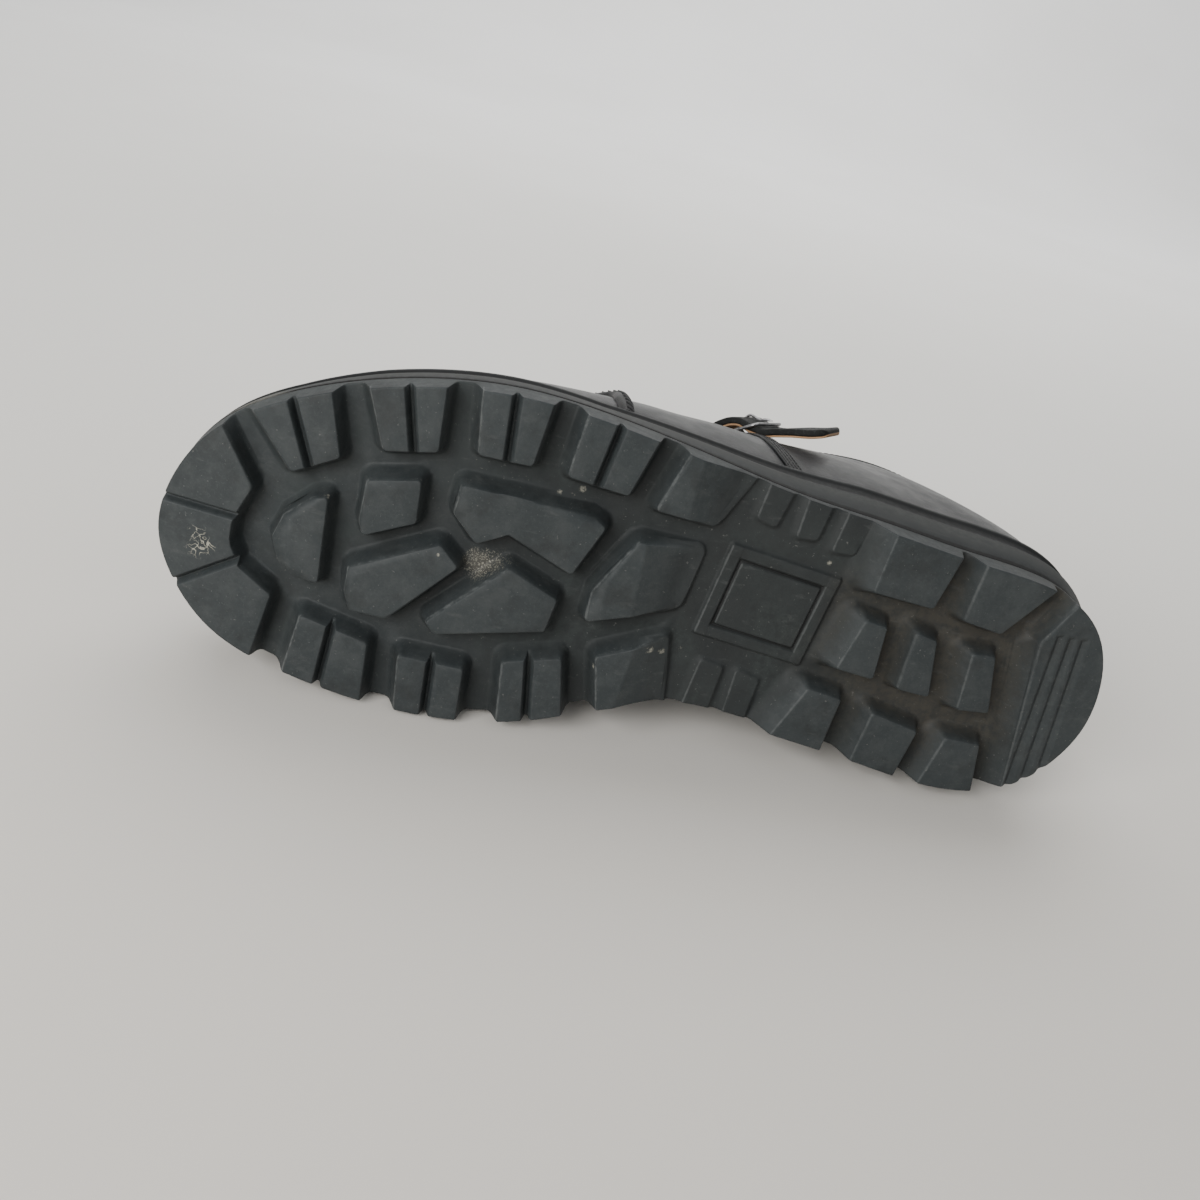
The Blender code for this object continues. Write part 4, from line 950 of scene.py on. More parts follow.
def tread_cells():
    """The lugs, each with its top and slope, and the grooves, each with its depth."""
    lugs, grooves = [], []
    for row in LUGS + plate_lugs():
        round_by = PLATE_CORNER if row["drafts"][0] == PLATE_DRAFT else LUG_CORNER
        shape = Cell(row["corners"], row["drafts"], RIM_ROUND, FOOT_ROUND, round_by)
        lugs.append((shape, row["top"], row["slope"]))
        if row["split"]:
            start, end = (np.array(point) for point in row["split"])
            reach = unit(end - start) * SPLIT_REACH
            grooves.append((start - reach, end + reach, *SPLIT_GROOVE))
    for from_x, from_y, to_x, to_y, half, side, depth in GROOVES:
        grooves.append((np.array((from_x, from_y)), np.array((to_x, to_y)), half, side, depth))
    cut = []
    for start, end, half, side, depth in grooves:
        run = unit(end - start)
        across = np.array((-run[1], run[0])) * half
        corners = (start - across, end - across, end + across, start + across)
        cut.append((Cell(corners, (side,) * 4, side, side), depth))
    return lugs, cut


def climb(slope, points):
    """The height of a face that climbs behind the slope's line."""
    (ax, ay), (bx, by), most = slope
    line = unit(np.array((bx - ax, by - ay)))
    behind = (points[:, 0] - ax) * line[1] - (points[:, 1] - ay) * line[0]
    behind *= -math.copysign(1, line[1]) * most / SLOPE_RUN
    return np.minimum(bend(behind, SLOPE_ROUND), most)


def from_outline(points, outline):
    """Each point's distance from the outline."""
    a, b = outline, np.roll(outline, -1, axis=0)
    along_edge = b - a
    nearest = np.full(len(points), np.inf)
    for start, edge in zip(a, along_edge):
        part = np.clip((points - start) @ edge / (edge @ edge), 0, 1)
        nearest = np.minimum(nearest, np.linalg.norm(points - start - part[:, None] * edge, axis=1))
    return nearest


def tread_height(points, lugs, grooves, outline):
    """The height of the tread over the ground at each point, before toe spring."""
    relief = np.zeros(len(points))
    for shape, top, slope in lugs:
        one = (LUG_HEIGHT - top) * (1 - shape.fall(points))
        if slope:
            one = np.minimum(one, LUG_HEIGHT - climb(slope, points))
        relief += one**ROUND_POWER
    height = LUG_HEIGHT - np.minimum(relief ** (1 / ROUND_POWER), LUG_HEIGHT)
    for shape, depth in grooves:
        height = np.maximum(height, depth * (1 - shape.fall(points)))
    inset = np.clip(EDGE_ROUND - from_outline(points, outline), 0, EDGE_ROUND)
    return height + EDGE_ROUND - np.sqrt(EDGE_ROUND**2 - inset**2)


def rim_wear_and_highlight(points, lugs):
    """How pale the rims of the lugs' faces are, from 0 to 1: part wear, part a painted highlight, which is
    most where they look towards the toe, the side the light comes from.
    """
    nearest, forward = np.full(len(points), np.inf), np.zeros(len(points))
    for shape, *_ in lugs:
        beyond, share = shape.beyond(points)
        closer = beyond < nearest
        nearest[closer] = beyond[closer]
        forward[closer] = share[closer] @ shape.normals[:, 0]
    rim = np.clip(1 - np.abs(nearest - WEAR_AND_HIGHLIGHT_CENTRE) / WEAR_AND_HIGHLIGHT_REACH, 0, 1)
    return rim * (WEAR_AND_HIGHLIGHT_BEHIND + (1 - WEAR_AND_HIGHLIGHT_BEHIND) * np.clip(forward, 0, 1))


def inside(points, polygon):
    """Which points lie inside the polygon, by counting the edges that a ray crosses."""
    x, y = points[:, 0], points[:, 1]
    odd = np.zeros(len(points), bool)
    for (x0, y0), (x1, y1) in zip(polygon, np.roll(polygon, -1, axis=0)):
        if y0 != y1:
            odd ^= ((y0 > y) != (y1 > y)) & (x < x0 + (y - y0) * (x1 - x0) / (y1 - y0))
    return odd


def rim_of(faces):
    """The boundary vertices of a triangle sheet, in order."""
    following = {}
    edges = {(a, b) for face in faces for a, b in zip(face, np.roll(face, -1))}
    for a, b in edges:
        if (b, a) not in edges:
            following[a] = b
    ring = [min(following)]
    while following[ring[-1]] != ring[0]:
        ring.append(following[ring[-1]])
    return ring


SOLE_AROUND = 8
NET = 5.0
NET_SIDES = (-44, 68)
EDGE_LEVELS = (0.12, 0.4, 1.0)
SLOPE_ASIDE = 0.6
SLOPE_STEP = 0.12
SIDE_DEEP = 0.4
SOLE_SIDE = (
    # in from the outline, down from the top, part outwards and part upwards of the normal
    (0.0, 1.1, 1.0, 0.0),
    (0.0, 0.4, 1.0, 0.0),
    (0.25, 0.0, 1.0, 1.0),
    (6.0, 0.0, 0.0, 1.0),
)


def tread_plan(lugs, grooves, outline, around):
    """Triangles in plan that follow every rim and foot of the tread."""
    points, edges = [], []
    rings = [outline]
    for inset in EDGE_LEVELS:
        rings.append(outline - outward_at(around) * EDGE_ROUND * inset)
    for shape, *_ in lugs + grooves:
        rings += shape.rings()
    for ring in rings:
        first = len(points)
        points += [Vector(point) for point in ring]
        edges += [(first + i, first + (i + 1) % len(ring)) for i in range(len(ring))]
    for _, _, slope in lugs:
        if slope:
            for aside in (-SLOPE_ASIDE, 0.0, SLOPE_ASIDE):
                first = len(points)
                points += [Vector((x + aside, y)) for x, y in slope[:2]]
                edges.append((first, first + 1))
    for x in np.arange(NET, SOLE_LENGTH, NET):
        points += [Vector((x, y)) for y in np.arange(*NET_SIDES, NET)]
    found, _, faces, *_ = delaunay_2d_cdt(points, edges, [], 0, 1e-3)
    found = np.array([tuple(point) for point in found])
    faces = np.array(faces)
    faces = faces[inside(found[faces].mean(axis=1), outline)]
    used, index = np.unique(faces, return_inverse=True)
    return found[used], index.reshape(faces.shape)


def build_outsole():
    """The sole with rounded rims and feet. Attributes say where it is deep, where its rims are pale with wear
    and painted highlight, and where painted shade darkens the plate's channel and the sole's top edge.
    """
    around = np.arange(0, ROUND, 1 / SOLE_AROUND)
    outline = outline_at(around)
    lugs, grooves = tread_cells()
    plan, faces = tread_plan(lugs, grooves, outline, around)

    def height(points):
        return tread_height(points, lugs, grooves, outline)

    middle = height(plan)
    slopes = []
    for step in ((SLOPE_STEP, 0), (0, SLOPE_STEP)):
        ahead, behind = plan + step, plan - step
        rise = height(ahead) + spring(ahead[:, 0]) - height(behind) - spring(behind[:, 0])
        slopes.append(rise / (2 * SLOPE_STEP))
    normals = unit(np.c_[slopes[0], slopes[1], -np.ones(len(plan))])
    tread = np.c_[plan, middle + spring(plan[:, 0])]
    rim = rim_of(faces)
    count, first = len(rim), len(plan)
    edge_plan = plan[rim]
    outward = unit(np.roll(edge_plan, -1, axis=0) - np.roll(edge_plan, 1, axis=0)) @ ((0, 1), (-1, 0))
    if np.sum(outward * (edge_plan - edge_plan.mean(axis=0))) < 0:
        outward = -outward
    rings, side_normals = [], []
    for inset, down, outwards, upwards in SOLE_SIDE:
        flat = edge_plan - outward * inset
        rings.append(np.c_[flat, OUTSOLE_TOP - down + spring(flat[:, 0])])
        side_normals.append(np.c_[outward * outwards, np.full(count, upwards)])
    normals[rim] = np.c_[outward, np.zeros(count)]
    points = np.vstack([tread] + rings)
    normals = unit(np.vstack([normals] + side_normals))
    quads = [(rim[i], rim[(i + 1) % count], first + (i + 1) % count, first + i) for i in range(count)]
    for i in range(len(rings) - 1):
        quads += ring_faces(first + i * count, first + (i + 1) * count, count)
    side = len(SOLE_SIDE) * count
    deep = np.r_[np.clip(middle / LUG_HEIGHT, 0, 1), np.full(side, SIDE_DEEP)]
    # pale rims: wear and a painted highlight
    pale_mark = np.r_[rim_wear_and_highlight(plan, lugs), np.zeros(side)]
    # painted shade: the floor of the label plate's channel, and the sole's upper side and top under the rand
    plate_floor = on_plate(plan) & (middle > (LUG_HEIGHT + RIB_TOP) / 2)
    channel = np.r_[plate_floor, np.zeros(count), np.ones(side - count)]

    mesh = bpy.data.meshes.new("sole_tread")
    mesh.from_pydata(to_row(points).tolist(), [], [face[::-1] for face in faces.tolist()] + quads)
    mesh.shade_smooth()
    mark(mesh, "deep", deep)
    mark(mesh, "edge", pale_mark)
    mark(mesh, "channel", channel)
    mesh.normals_split_custom_set_from_vertices((normals @ SHOE_TURN.T).tolist())
    return finished("sole_tread", mesh, [SOLE_RUBBER], ["outsole"])


def evaluated(piece):
    """The piece's mesh with its modifiers, as a new mesh."""
    graph = bpy.context.evaluated_depsgraph_get()
    whole = piece.evaluated_get(graph)
    return bpy.data.meshes.new_from_object(whole, preserve_all_data_layers=True, depsgraph=graph)


# ---- rand, insole and upper

RAND_PROFILE = (
    # height as a part of the rand, share of the lip's stand-out, further out in millimetres
    (0.00, 0.0, -0.9),
    (0.02, 0.0, -0.3),
    (0.05, 0.0, 0.0),
    (0.25, 0.35, 0.2),
    (0.46, 0.73, 0.25),
    (0.52, 0.77, -0.1),
    (0.60, 0.80, -0.7),
    (0.72, 0.86, -1.0),
    (0.82, 0.93, -0.7),
    (0.88, 0.98, -0.1),
    (0.93, 1.00, 0.0),
    (0.98, 1.00, -0.1),
    (1.00, 1.00, -0.4),
)
RAND_AROUND = 10
RAND_FINE = 4
FOOTBED_INSET = 0.6
FOOTBED = (
    # out from its edge, up from the seat
    (0.0, 0.0), (0.0, 1.8), (-0.3, 2.6), (-1.0, 3.0), (-6.0, 2.8), (-14.0, 2.5),
)


def offset_ring(around, out, height):
    """The outline moved outwards by out at each place, at the given heights."""
    flat = outline_at(around) + outward_at(around) * np.broadcast_to(out, len(around))[:, None]
    return np.c_[flat, height(flat[:, 0])]


def build_rand():
    """The rand by its profile, up to the lip, and then in and down to the seat."""
    around = np.arange(0, ROUND, 1 / RAND_AROUND)
    out = lip_out(around)
    profile = smooth_line(RAND_PROFILE, RAND_FINE)
    rings = []
    for part, share, extra in profile:
        def height(x, part=part):
            low = OUTSOLE_TOP + GAP + spring(x)
            return low + part * (lip_height(x) - low)
        rings.append(offset_ring(around, share * out + extra, height))
    rings.append(offset_ring(around, out - LIP_WIDTH, lip_height))
    rings.append(offset_ring(around, out - LIP_WIDTH - 0.1, seat_height))
    up = np.repeat(np.r_[profile[:, 0], 1.0, 1.0], len(around))
    build_rings("sole_rand", rings, RAND_RUBBER, "rand_rubber", ["midsole"], up=up)


def build_insole():
    """The footbed, with a softly rounded edge and a shallow dip inside it."""
    around = np.arange(0, ROUND, 1 / RAND_AROUND)
    inset = lip_out(around) - LEATHER_INSET - LEATHER - FOOTBED_INSET
    rings = [
        offset_ring(around, inset + out, lambda x, up=up: seat_height(x) + GAP + up) for out, up in FOOTBED
    ]
    build_rings("footbed", rings, TAN_LEATHER, "lining_leather", ["insole"])


CREASES = (
    # from place, from height, to place, to height, width, depth: soft troughs and ridges of the walls
    (8.6, 0.10, 9.6, 0.52, 9.0, -0.9),
    (9.9, 0.12, 10.7, 0.46, 7.0, 0.7),
    (6.0, 0.15, 6.5, 0.60, 12.0, -0.8),
    (3.0, 0.20, 3.6, 0.75, 16.0, -1.0),
    (24.3, 0.2, 24.0, 0.8, 14.0, -0.8),
    (18.0, 0.12, 17.0, 0.5, 8.0, -0.8),
    (16.2, 0.15, 15.4, 0.4, 7.0, 0.6),
)
CREASE_STEPS = 24
UPPER_AROUND = 9
UPPER_UP = 40
RIM_STEPS = 8
INNER_UP = 14
RIM_BULGE = 0.5
RIM_RISE = 1.1


def creased(height, points, normals):
    """The points of the wall at a height, each pushed out or in by the creases near it."""
    push = np.zeros(len(points))
    for from_place, from_height, to_place, to_height, width, depth in CREASES:
        heights = np.linspace(from_height, to_height, CREASE_STEPS)
        line = upper_point(np.linspace(from_place, to_place, CREASE_STEPS), heights)
        near = np.linalg.norm(points[:, None] - line[None], axis=2).min(axis=1)
        push += depth * np.exp(-((near / width) ** 2))
    return points + normals * push[:, None] * max(math.sin(math.pi * height), 0.0) ** 0.5


def build_upper():
    """The wall from the lip to the opening with a rolled edge, black outside and lined in tan."""
    around = np.arange(0, ROUND, 1 / UPPER_AROUND)
    rings = []
    heights = np.linspace(0, 1, UPPER_UP) ** 0.9
    for height in heights:
        rings.append(creased(height, upper_point(around, height), upper_normal(around, height)))
    rim, rim_normal = upper_point(around, 1.0), upper_normal(around, 1.0)
    rim_up = unit(rim - upper_point(around, 0.97))
    middle = rim - rim_normal * LEATHER / 2
    radius = LEATHER / 2 + RIM_BULGE
    for angle in np.linspace(0, math.pi, RIM_STEPS + 2)[1:-1]:
        rings.append(middle + rim_normal * radius * math.cos(angle) + rim_up * RIM_RISE * math.sin(angle))
    inner = [
        upper_point(around, height) - upper_normal(around, height) * LEATHER
        for height in np.linspace(1, 0, INNER_UP)
    ]
    inner[-1][:, 2] = rings[0][:, 2]
    count = len(around)
    faces = loft(rings + inner) + ring_faces((len(rings) + INNER_UP - 1) * count, 0, count)
    shown = np.zeros(len(faces), int)
    shown[len(rings) * count:] = 1
    points = np.vstack(rings + inner)
    up = np.repeat(np.r_[heights, np.ones(RIM_STEPS + INNER_UP)], count)
    looks = [BLACK_LEATHER, TAN_LEATHER]
    build("upper_leather", points, faces, looks, "upper_leather", ["upper"], shown, sharp=70.0, up=up)


# ---- seams

RIDGE = (
    # aside, above: across the apron's raised seam
    (-2.3, 0.1), (-2.2, 0.8), (-1.8, 1.35), (-1.2, 1.75), (-0.5, 1.95), (0.3, 1.95), (1.0, 1.75), (1.6, 1.35),
    (2.1, 0.8), (2.3, 0.1),
)
WHIP = (
    # aside, above: the spots that each whip stitch runs over
    (-2.6, 0.4), (-2.0, 1.35), (-1.1, 1.95), (0.0, 2.15),
)
RIDGE_STEPS = 260
OVERLAY_STEPS = 60
WHIP_PITCH = 3.2
WHIP_START = 0.2
WHIP_SLANT = 0.18
WHIP_THREAD = 0.42
STITCH_ROWS = (-1.95, -0.65, 0.65, 1.95)
STITCH_ABOVE = 0.82
OVERLAY_PITCH = 1.7
OVERLAY_THREAD = 0.16
TOPLINE_HEIGHT = 0.94
TOPLINE_STEPS = 600
TOPLINE_PITCH = 2.4
TOPLINE_THREAD = 0.13
OVERLAY = (
    # aside, above: across a flat overlay strip
    (-2.7, 0.1), (-2.65, 0.55), (-2.4, 0.75), (-1.6, 0.8), (1.6, 0.8), (2.4, 0.75), (2.65, 0.55), (2.7, 0.1),
)


def seam_strip(name, line, profile, replaced):
    """A strip along a line of the wall, by its cross-section."""
    rows = [line.beside(aside, above)[0] for aside, above in profile]
    rings = list(np.stack(rows, axis=1))
    build_rings(name, rings, SEAM_LEATHER, "upper_leather", [replaced], sharp=60.0)


def build_whip_stitches(apron):
    """Slanting stitches over the ridge's edge."""
    whip = Heap()
    length = lengths(apron.points)
    count = int(length[-1] // WHIP_PITCH)
    rows = [apron.beside(aside, above)[0] for aside, above in WHIP]
    for i in range(count):
        path = []
        for step, row in enumerate(rows):
            at = (i + WHIP_START + WHIP_SLANT * step) * length[-1] / count
            path.append(sample(row, length, at))
        whip.tube(smooth_line(path, 3), WHIP_THREAD)
    whip.done("apron_stitches", BLACK_THREAD, "upper_leather")


def build_seams():
    """The apron's ridge, and the overlay on each side with its rows of stitches."""
    apron = WallLine(APRON_SEAM, RIDGE_STEPS)
    seam_strip("apron_ridge", apron, RIDGE, "apron_seam")
    build_whip_stitches(apron)
    for name, stops, node in (
        ("lateral", LATERAL_SEAM, "quarter_seam_lateral"), ("medial", MEDIAL_SEAM, "quarter_seam_medial")
    ):
        line = WallLine(stops, OVERLAY_STEPS)
        seam_strip(f"{name}_overlay", line, OVERLAY, node)
        rows = Heap()
        for aside in STITCH_ROWS:
            sew(rows, *line.beside(aside, STITCH_ABOVE), OVERLAY_PITCH, OVERLAY_THREAD)
        rows.done(f"{name}_stitches", BLACK_THREAD, "upper_leather")


def build_topline_stitches():
    """One fine row of stitches along the opening."""
    places = np.linspace(0, ROUND, TOPLINE_STEPS)
    spots, normals = upper_point(places, TOPLINE_HEIGHT), upper_normal(places, TOPLINE_HEIGHT)
    row = Heap()
    sew(row, spots, normals, TOPLINE_PITCH, TOPLINE_THREAD)
    row.done("topline_stitches", BLACK_THREAD, "upper_leather")


# ---- strap and buckle

STRAP_FINE = 240
SPOT_STEPS = 600
PIVOT_X = 121.9
FAR_BAR_X = 111.0
WIRE = 0.6
PRONG_WIRE = 0.5
FRAME_CORNER = 2.0
FRAME_STEPS = 11
WIRE_SIDES = 16
WIRE_STEPS = 60
TAB_STEPS = 60
PRONG_SIDES = 12
PRONG_BLUNT = 0.35
PRONG_TAPER = 2.2
BAR_CLEARANCE = 0.45
TAB_THICKNESS = 0.7
TAB_WIDTH = 11.0
SLOT = (9.0, 3.6)
SLOT_AHEAD = 2.8
TAB_SLOT = (11.0, 3.6)
TAB_SLOT_AHEAD = 0.5
LINING_SHARE = 0.22
BOX_FACES = ((0, 1, 3, 2), (4, 6, 7, 5), (0, 4, 5, 1), (2, 3, 7, 6), (0, 2, 6, 4), (1, 5, 7, 3))
TIP_ROUND = 1.8
TIP_THIN = 0.12


class Strap:
    """The strap's middle line with its run, outward side and width direction."""

    def __init__(self, count):
        self.path = evenly(smooth_line(STRAP_PATH), count)
        self.run = unit(np.gradient(self.path, axis=0))
        away = self.path - np.c_[self.path[:, 0], np.full(count, FOOT_AXIS_Y), np.full(count, FOOT_AXIS_Z)]
        away = unit(away - np.sum(away * self.run, axis=1)[:, None] * self.run)
        part = lengths(self.path) / lengths(self.path)[-1]
        twist = np.radians(np.interp(part, *np.transpose(STRAP_TWIST)))[:, None]
        self.away = away * np.cos(twist) + np.cross(self.run, away) * np.sin(twist)
        self.across = np.cross(self.run, self.away)

    def spot(self, x):
        """The middle and its run, outward side and width where it passes x on the lateral side."""
        lateral = np.where(self.path[:, 1] > FOOT_AXIS_Y + STRAP_WIDTH)[0]
        i = lateral[np.argmin(np.abs(self.path[lateral, 0] - x))]
        return self.path[i], self.run[i], self.away[i], self.across[i]

    def off(self, x, height):
        """The spot at that height over the middle, towards the outer face."""
        point, _, away, _ = self.spot(x)
        return point + away * height


def rounded_box(low, high, corner, steps):
    """The outline of a flat box, as pairs, with a number of points to each rounded corner."""
    left, right = low[0] + corner, high[0] - corner
    bottom, top = low[1] + corner, high[1] - corner
    outline = []
    for a, b, start in ((right, top, 0), (left, top, 90), (left, bottom, 180), (right, bottom, 270)):
        for angle in np.radians(start + np.linspace(0, 90, steps)):
            outline.append((a + corner * math.cos(angle), b + corner * math.sin(angle)))
    return outline


def layer(low, high, half, corner):
    """A flat strip's cross-section: across and away from its middle."""
    return rounded_box((-half, low), (half, high), corner, 4)


def box_mesh(centre, axes, sizes):
    """A box by its middle, its three directions and its sizes."""
    corners = [
        centre + sum(np.array(axis) * size * sign / 2 for axis, size, sign in zip(axes, sizes, signs))
        for signs in product((-1, 1), repeat=3)
    ]
    box = bpy.data.meshes.new("cutter")
    box.from_pydata(to_row(corners).tolist(), [], BOX_FACES)
    outward_faces(box)
    return box


def ribbon(name, path, away, across, profile, look, slot, replaces=(), slots=()):
    """A strip along a path, with slots cut through it. The lengths of away and across scale its size."""
    rings = [point + np.outer([a for a, _ in profile], w) + np.outer([b for _, b in profile], n)
             for point, n, w in zip(path, away, across)]
    piece = build_rings(name, rings, look, slot, replaces)
    for slot_box in slots:
        cutter = bpy.data.objects.new("cutter", box_mesh(*slot_box))
        bpy.context.scene.collection.objects.link(cutter)
        cut = piece.modifiers.new("slot", "BOOLEAN")
        cut.object = cutter
        whole = evaluated(piece)
        piece.modifiers.clear()
        piece.data = whole
        bpy.data.objects.remove(cutter)


def build_strap():
    """The strap in two layers, tapered and thinned at its tip, and the buckle on it."""
    strap = Strap(STRAP_FINE)
    half, thick = STRAP_WIDTH / 2, STRAP_THICKNESS / 2
    split = -thick + LINING_SHARE * STRAP_THICKNESS
    fine = Strap(SPOT_STEPS)
    pivot, run, away, across = fine.spot(PIVOT_X)
    slots = [(pivot + run * SLOT_AHEAD, (run, across, away), (*SLOT, 3 * STRAP_THICKNESS))]
    back = lengths(strap.path)[-1] - lengths(strap.path)
    off = np.interp(back, *np.transpose(STRAP_TIP[::-1]))[:, None]
    tapered = strap.across * (1 - off / half)
    blunt = 1 - np.clip(1 - back / TIP_ROUND, 0, 1)[:, None] ** 2
    thinned = strap.away * np.sqrt(np.clip(blunt, TIP_THIN, 1))
    ribbon("strap_face", strap.path, thinned, tapered, layer(split, thick, half, 0.55),
           STRAP_LEATHER, "strap_leather", ["strap"], slots)
    ribbon("strap_lining", strap.path, thinned, tapered, layer(-thick, split + 0.05, half - 0.15, 0.3),
           TAN_LEATHER, "lining_leather", (), slots)
    far_point, _, far_away, far_across = fine.spot(FAR_BAR_X)
    across = unit(across + far_across)
    bar = pivot - away * (thick + BAR_CLEARANCE + TAB_THICKNESS + GAP + WIRE)
    far_bar = far_point + far_away * (thick + GAP + WIRE)
    build_frame(bar, far_bar, across)
    build_prong(fine, bar, far_bar)
    build_tab(fine, bar, across)


def build_frame(bar, far_bar, across):
    """The buckle's wire frame, with rounded corners."""
    reach = far_bar - bar
    length = np.linalg.norm(reach)
    ahead = reach / length
    half_width = STRAP_WIDTH / 2 + 2 * GAP + WIRE
    outline = rounded_box((0, -half_width), (length, half_width), FRAME_CORNER, FRAME_STEPS)
    spots = np.array([bar + ahead * a + across * b for a, b in outline])
    run = unit(np.roll(spots, -1, axis=0) - np.roll(spots, 1, axis=0))
    normal = unit(np.cross(ahead, across))
    angles = np.arange(WIRE_SIDES) * 2 * math.pi / WIRE_SIDES
    rings = []
    for point, direction in zip(spots, run):
        side = np.cross(direction, normal)
        rings.append(point + WIRE * (np.cos(angles)[:, None] * side + np.sin(angles)[:, None] * normal))
    faces = loft(rings) + ring_faces((len(rings) - 1) * WIRE_SIDES, 0, WIRE_SIDES)
    build("buckle_wire_frame", np.vstack(rings), faces, [METAL], "buckle_metal", ["buckle_frame"])


PRONG_TURN = range(330, 59, -30)
PRONG_RISE = (
    # x behind the pivot, above the strap's outer face
    (2.6, -2.0), (3.7, -0.4), (4.9, 0.95), (7.4, 0.95),
)
PRONG_END = (
    # past the far bar, above lying on it
    (-2.0, -0.4), (0.0, 0.05), (0.8, 0.1),
)


def build_prong(strap, bar, far_bar):
    """A wire that turns once around the pivot bar, comes up through the slot and tapers to its tip."""
    _, run, away, _ = strap.spot(PIVOT_X)
    _, far_run, far_away, _ = strap.spot(FAR_BAR_X)
    eye = WIRE + GAP + PRONG_WIRE
    spots = [bar + eye * (math.cos(angle) * away + math.sin(angle) * run) for angle in np.radians(PRONG_TURN)]
    spots += [strap.off(PIVOT_X - behind, STRAP_THICKNESS / 2 + above) for behind, above in PRONG_RISE]
    spots += [far_bar + far_run * past + far_away * (eye + above) for past, above in PRONG_END]
    path = evenly(smooth_line(spots), WIRE_STEPS)
    left = lengths(path)[-1] - lengths(path)
    rings = tube_rings(path, PRONG_WIRE * np.clip(PRONG_BLUNT + left / PRONG_TAPER, 0, 1), PRONG_SIDES)
    build_rings("buckle_tongue", rings, METAL, "buckle_metal", ["buckle_prong"])


TAB_TURN = range(190, -1, -30)
TAB_TAIL = (
    # x past the pivot, further from the strap
    (6.5, 0.0), (4.3, 0.0), (2.2, 0.8),
)
TAB_END = 2.2


def build_tab(strap, bar, across):
    """The leather tab that turns around the pivot bar under the strap, slotted for the prong."""
    near = STRAP_THICKNESS / 2 + BAR_CLEARANCE + TAB_THICKNESS / 2
    far = near + TAB_THICKNESS + GAP
    turn = WIRE + GAP + TAB_THICKNESS / 2
    _, run, away, _ = strap.spot(PIVOT_X)
    spots = [strap.off(PIVOT_X + past, -far - further) for past, further in TAB_TAIL]
    spots += [bar + turn * (math.cos(angle) * away + math.sin(angle) * run) for angle in np.radians(TAB_TURN)]
    spots.append(strap.off(PIVOT_X + TAB_END, -near - GAP))
    centre = evenly(smooth_line(spots), TAB_STEPS)
    width = np.broadcast_to(across, centre.shape)
    outward = np.cross(width, unit(np.gradient(centre, axis=0)))
    half = TAB_THICKNESS / 2
    slot = (bar + run * TAB_SLOT_AHEAD, (run, across, away), (*TAB_SLOT, 4 * STRAP_THICKNESS))
    ribbon("buckle_keeper_tab", centre, outward, width, layer(-half, half, TAB_WIDTH / 2, 0.2), STRAP_LEATHER,
           "strap_leather", ["buckle_tab"], [slot])


# ---- build

build_outsole()
build_rand()
build_insole()
build_upper()
build_seams()
build_topline_stitches()
build_strap()


# ---- floor, lights and camera

CAMERA_SPOT = (217.1, 153.2, -315.1)
CAMERA_AIM = (166.96, 9.32, 0.0)
CAMERA_ROLL = 14.898
LENS = 34.68
SENSOR = 36.0
CLIP_START = 0.01
FLOOR_SIDE = 3.5
FLOOR_NEAR = -1.6
SWEEP_START = 1.5
SWEEP_RADIUS = 0.9
BACKDROP_TOP = 3.0
WORLD_COLOR = (0.80, 0.80, 0.79, 1.0)
WORLD_STRENGTH = 0.36


def facing(place, aim, roll=0.0):
    """The matrix of a lamp or camera at a place that looks at another, rolled by degrees."""
    place, aim = Vector(place), Vector(aim)
    turn = (aim - place).to_track_quat("-Z", "Y").to_matrix() @ Matrix.Rotation(math.radians(roll), 3, "Z")
    return Matrix.Translation(place) @ turn.to_4x4()


def build_camera():
    data = bpy.data.cameras.new("camera")
    data.lens = LENS
    data.sensor_width = SENSOR
    data.clip_start = CLIP_START
    camera = bpy.data.objects.new("camera", data)
    camera.matrix_world = facing(to_row(CAMERA_SPOT), to_row(CAMERA_AIM), CAMERA_ROLL)
    bpy.context.scene.collection.objects.link(camera)
    bpy.context.scene.camera = camera


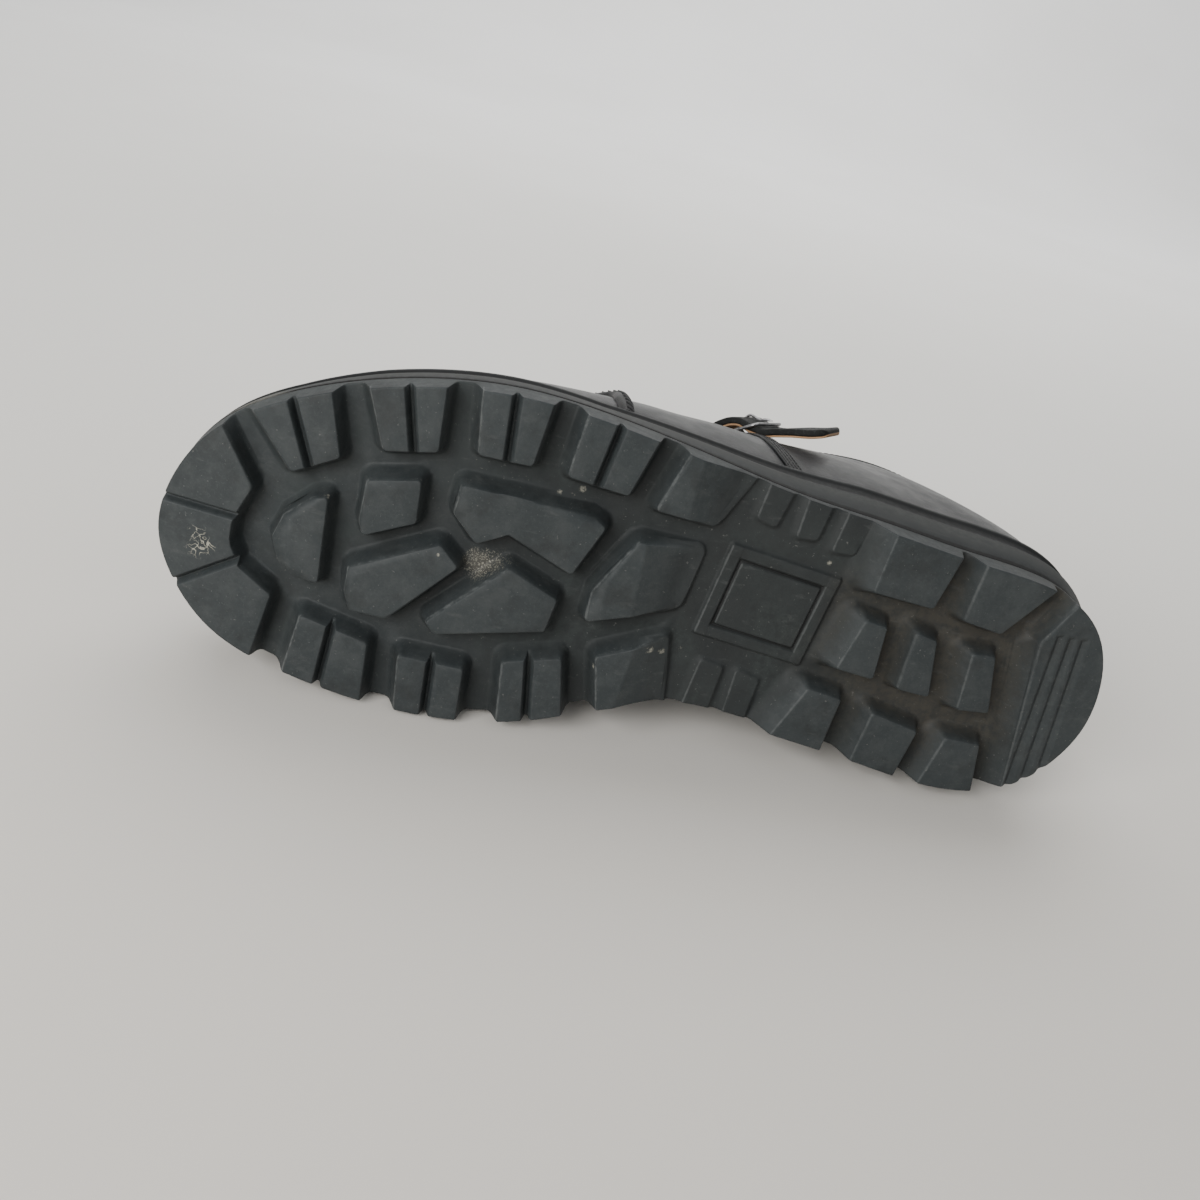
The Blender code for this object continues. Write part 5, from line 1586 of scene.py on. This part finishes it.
def build_floor():
    """A floor that turns up into a backdrop in one sweep."""
    profile = [(FLOOR_NEAR, 0.0)]
    for angle in np.linspace(0, math.pi / 2, 24):
        rise = SWEEP_RADIUS * (1 - math.cos(angle))
        profile.append((SWEEP_START + SWEEP_RADIUS * math.sin(angle), rise))
    profile.append((SWEEP_START + SWEEP_RADIUS, BACKDROP_TOP))
    points = [(x, y, z) for x in (-FLOOR_SIDE, FLOOR_SIDE) for y, z in profile]
    count = len(profile)
    faces = [(i, count + i, count + i + 1, i + 1) for i in range(count - 1)]
    mesh = bpy.data.meshes.new("floor")
    mesh.from_pydata(points, [], faces)
    mesh.shade_smooth()
    mesh.materials.append(floor_look())
    floor = bpy.data.objects.new("floor", mesh)
    bpy.context.scene.collection.objects.link(floor)


LIGHTS = (
    # name, place, aimed at, width, height, watts, colour
    ("key", (-0.66, -0.80, 0.55), (0.0, 0.0, 0.05), 0.6, 0.6, 13.5, (1.0, 0.99, 0.97)),
    ("fill", (0.7, -1.2, 1.2), (0.0, 0.0, 0.05), 1.2, 1.0, 4.0, (0.97, 0.98, 1.0)),
    ("top", (0.0, 1.0, 1.7), (0.1, 0.4, 0.0), 2.4, 1.4, 30.0, (1.0, 0.995, 0.98)),
    ("backdrop", (0.5, 1.1, 1.5), (0.6, 2.2, 0.5), 1.6, 1.0, 16.0, (1.0, 1.0, 1.0)),
)


def build_lights():
    """Soft area lights in a pale room."""
    for name, place, aim, width, height, watts, color in LIGHTS:
        data = bpy.data.lights.new(name, "AREA")
        data.shape = "RECTANGLE"
        data.size, data.size_y = width, height
        data.energy = watts
        data.color = color
        light = bpy.data.objects.new(name, data)
        light.matrix_world = facing(place, aim)
        bpy.context.scene.collection.objects.link(light)
    world = bpy.data.worlds.new("studio")
    world.use_nodes = True
    background = world.node_tree.nodes["Background"]
    background.inputs["Color"].default_value = WORLD_COLOR
    background.inputs["Strength"].default_value = WORLD_STRENGTH
    bpy.context.scene.world = world


build_floor()
build_lights()
build_camera()
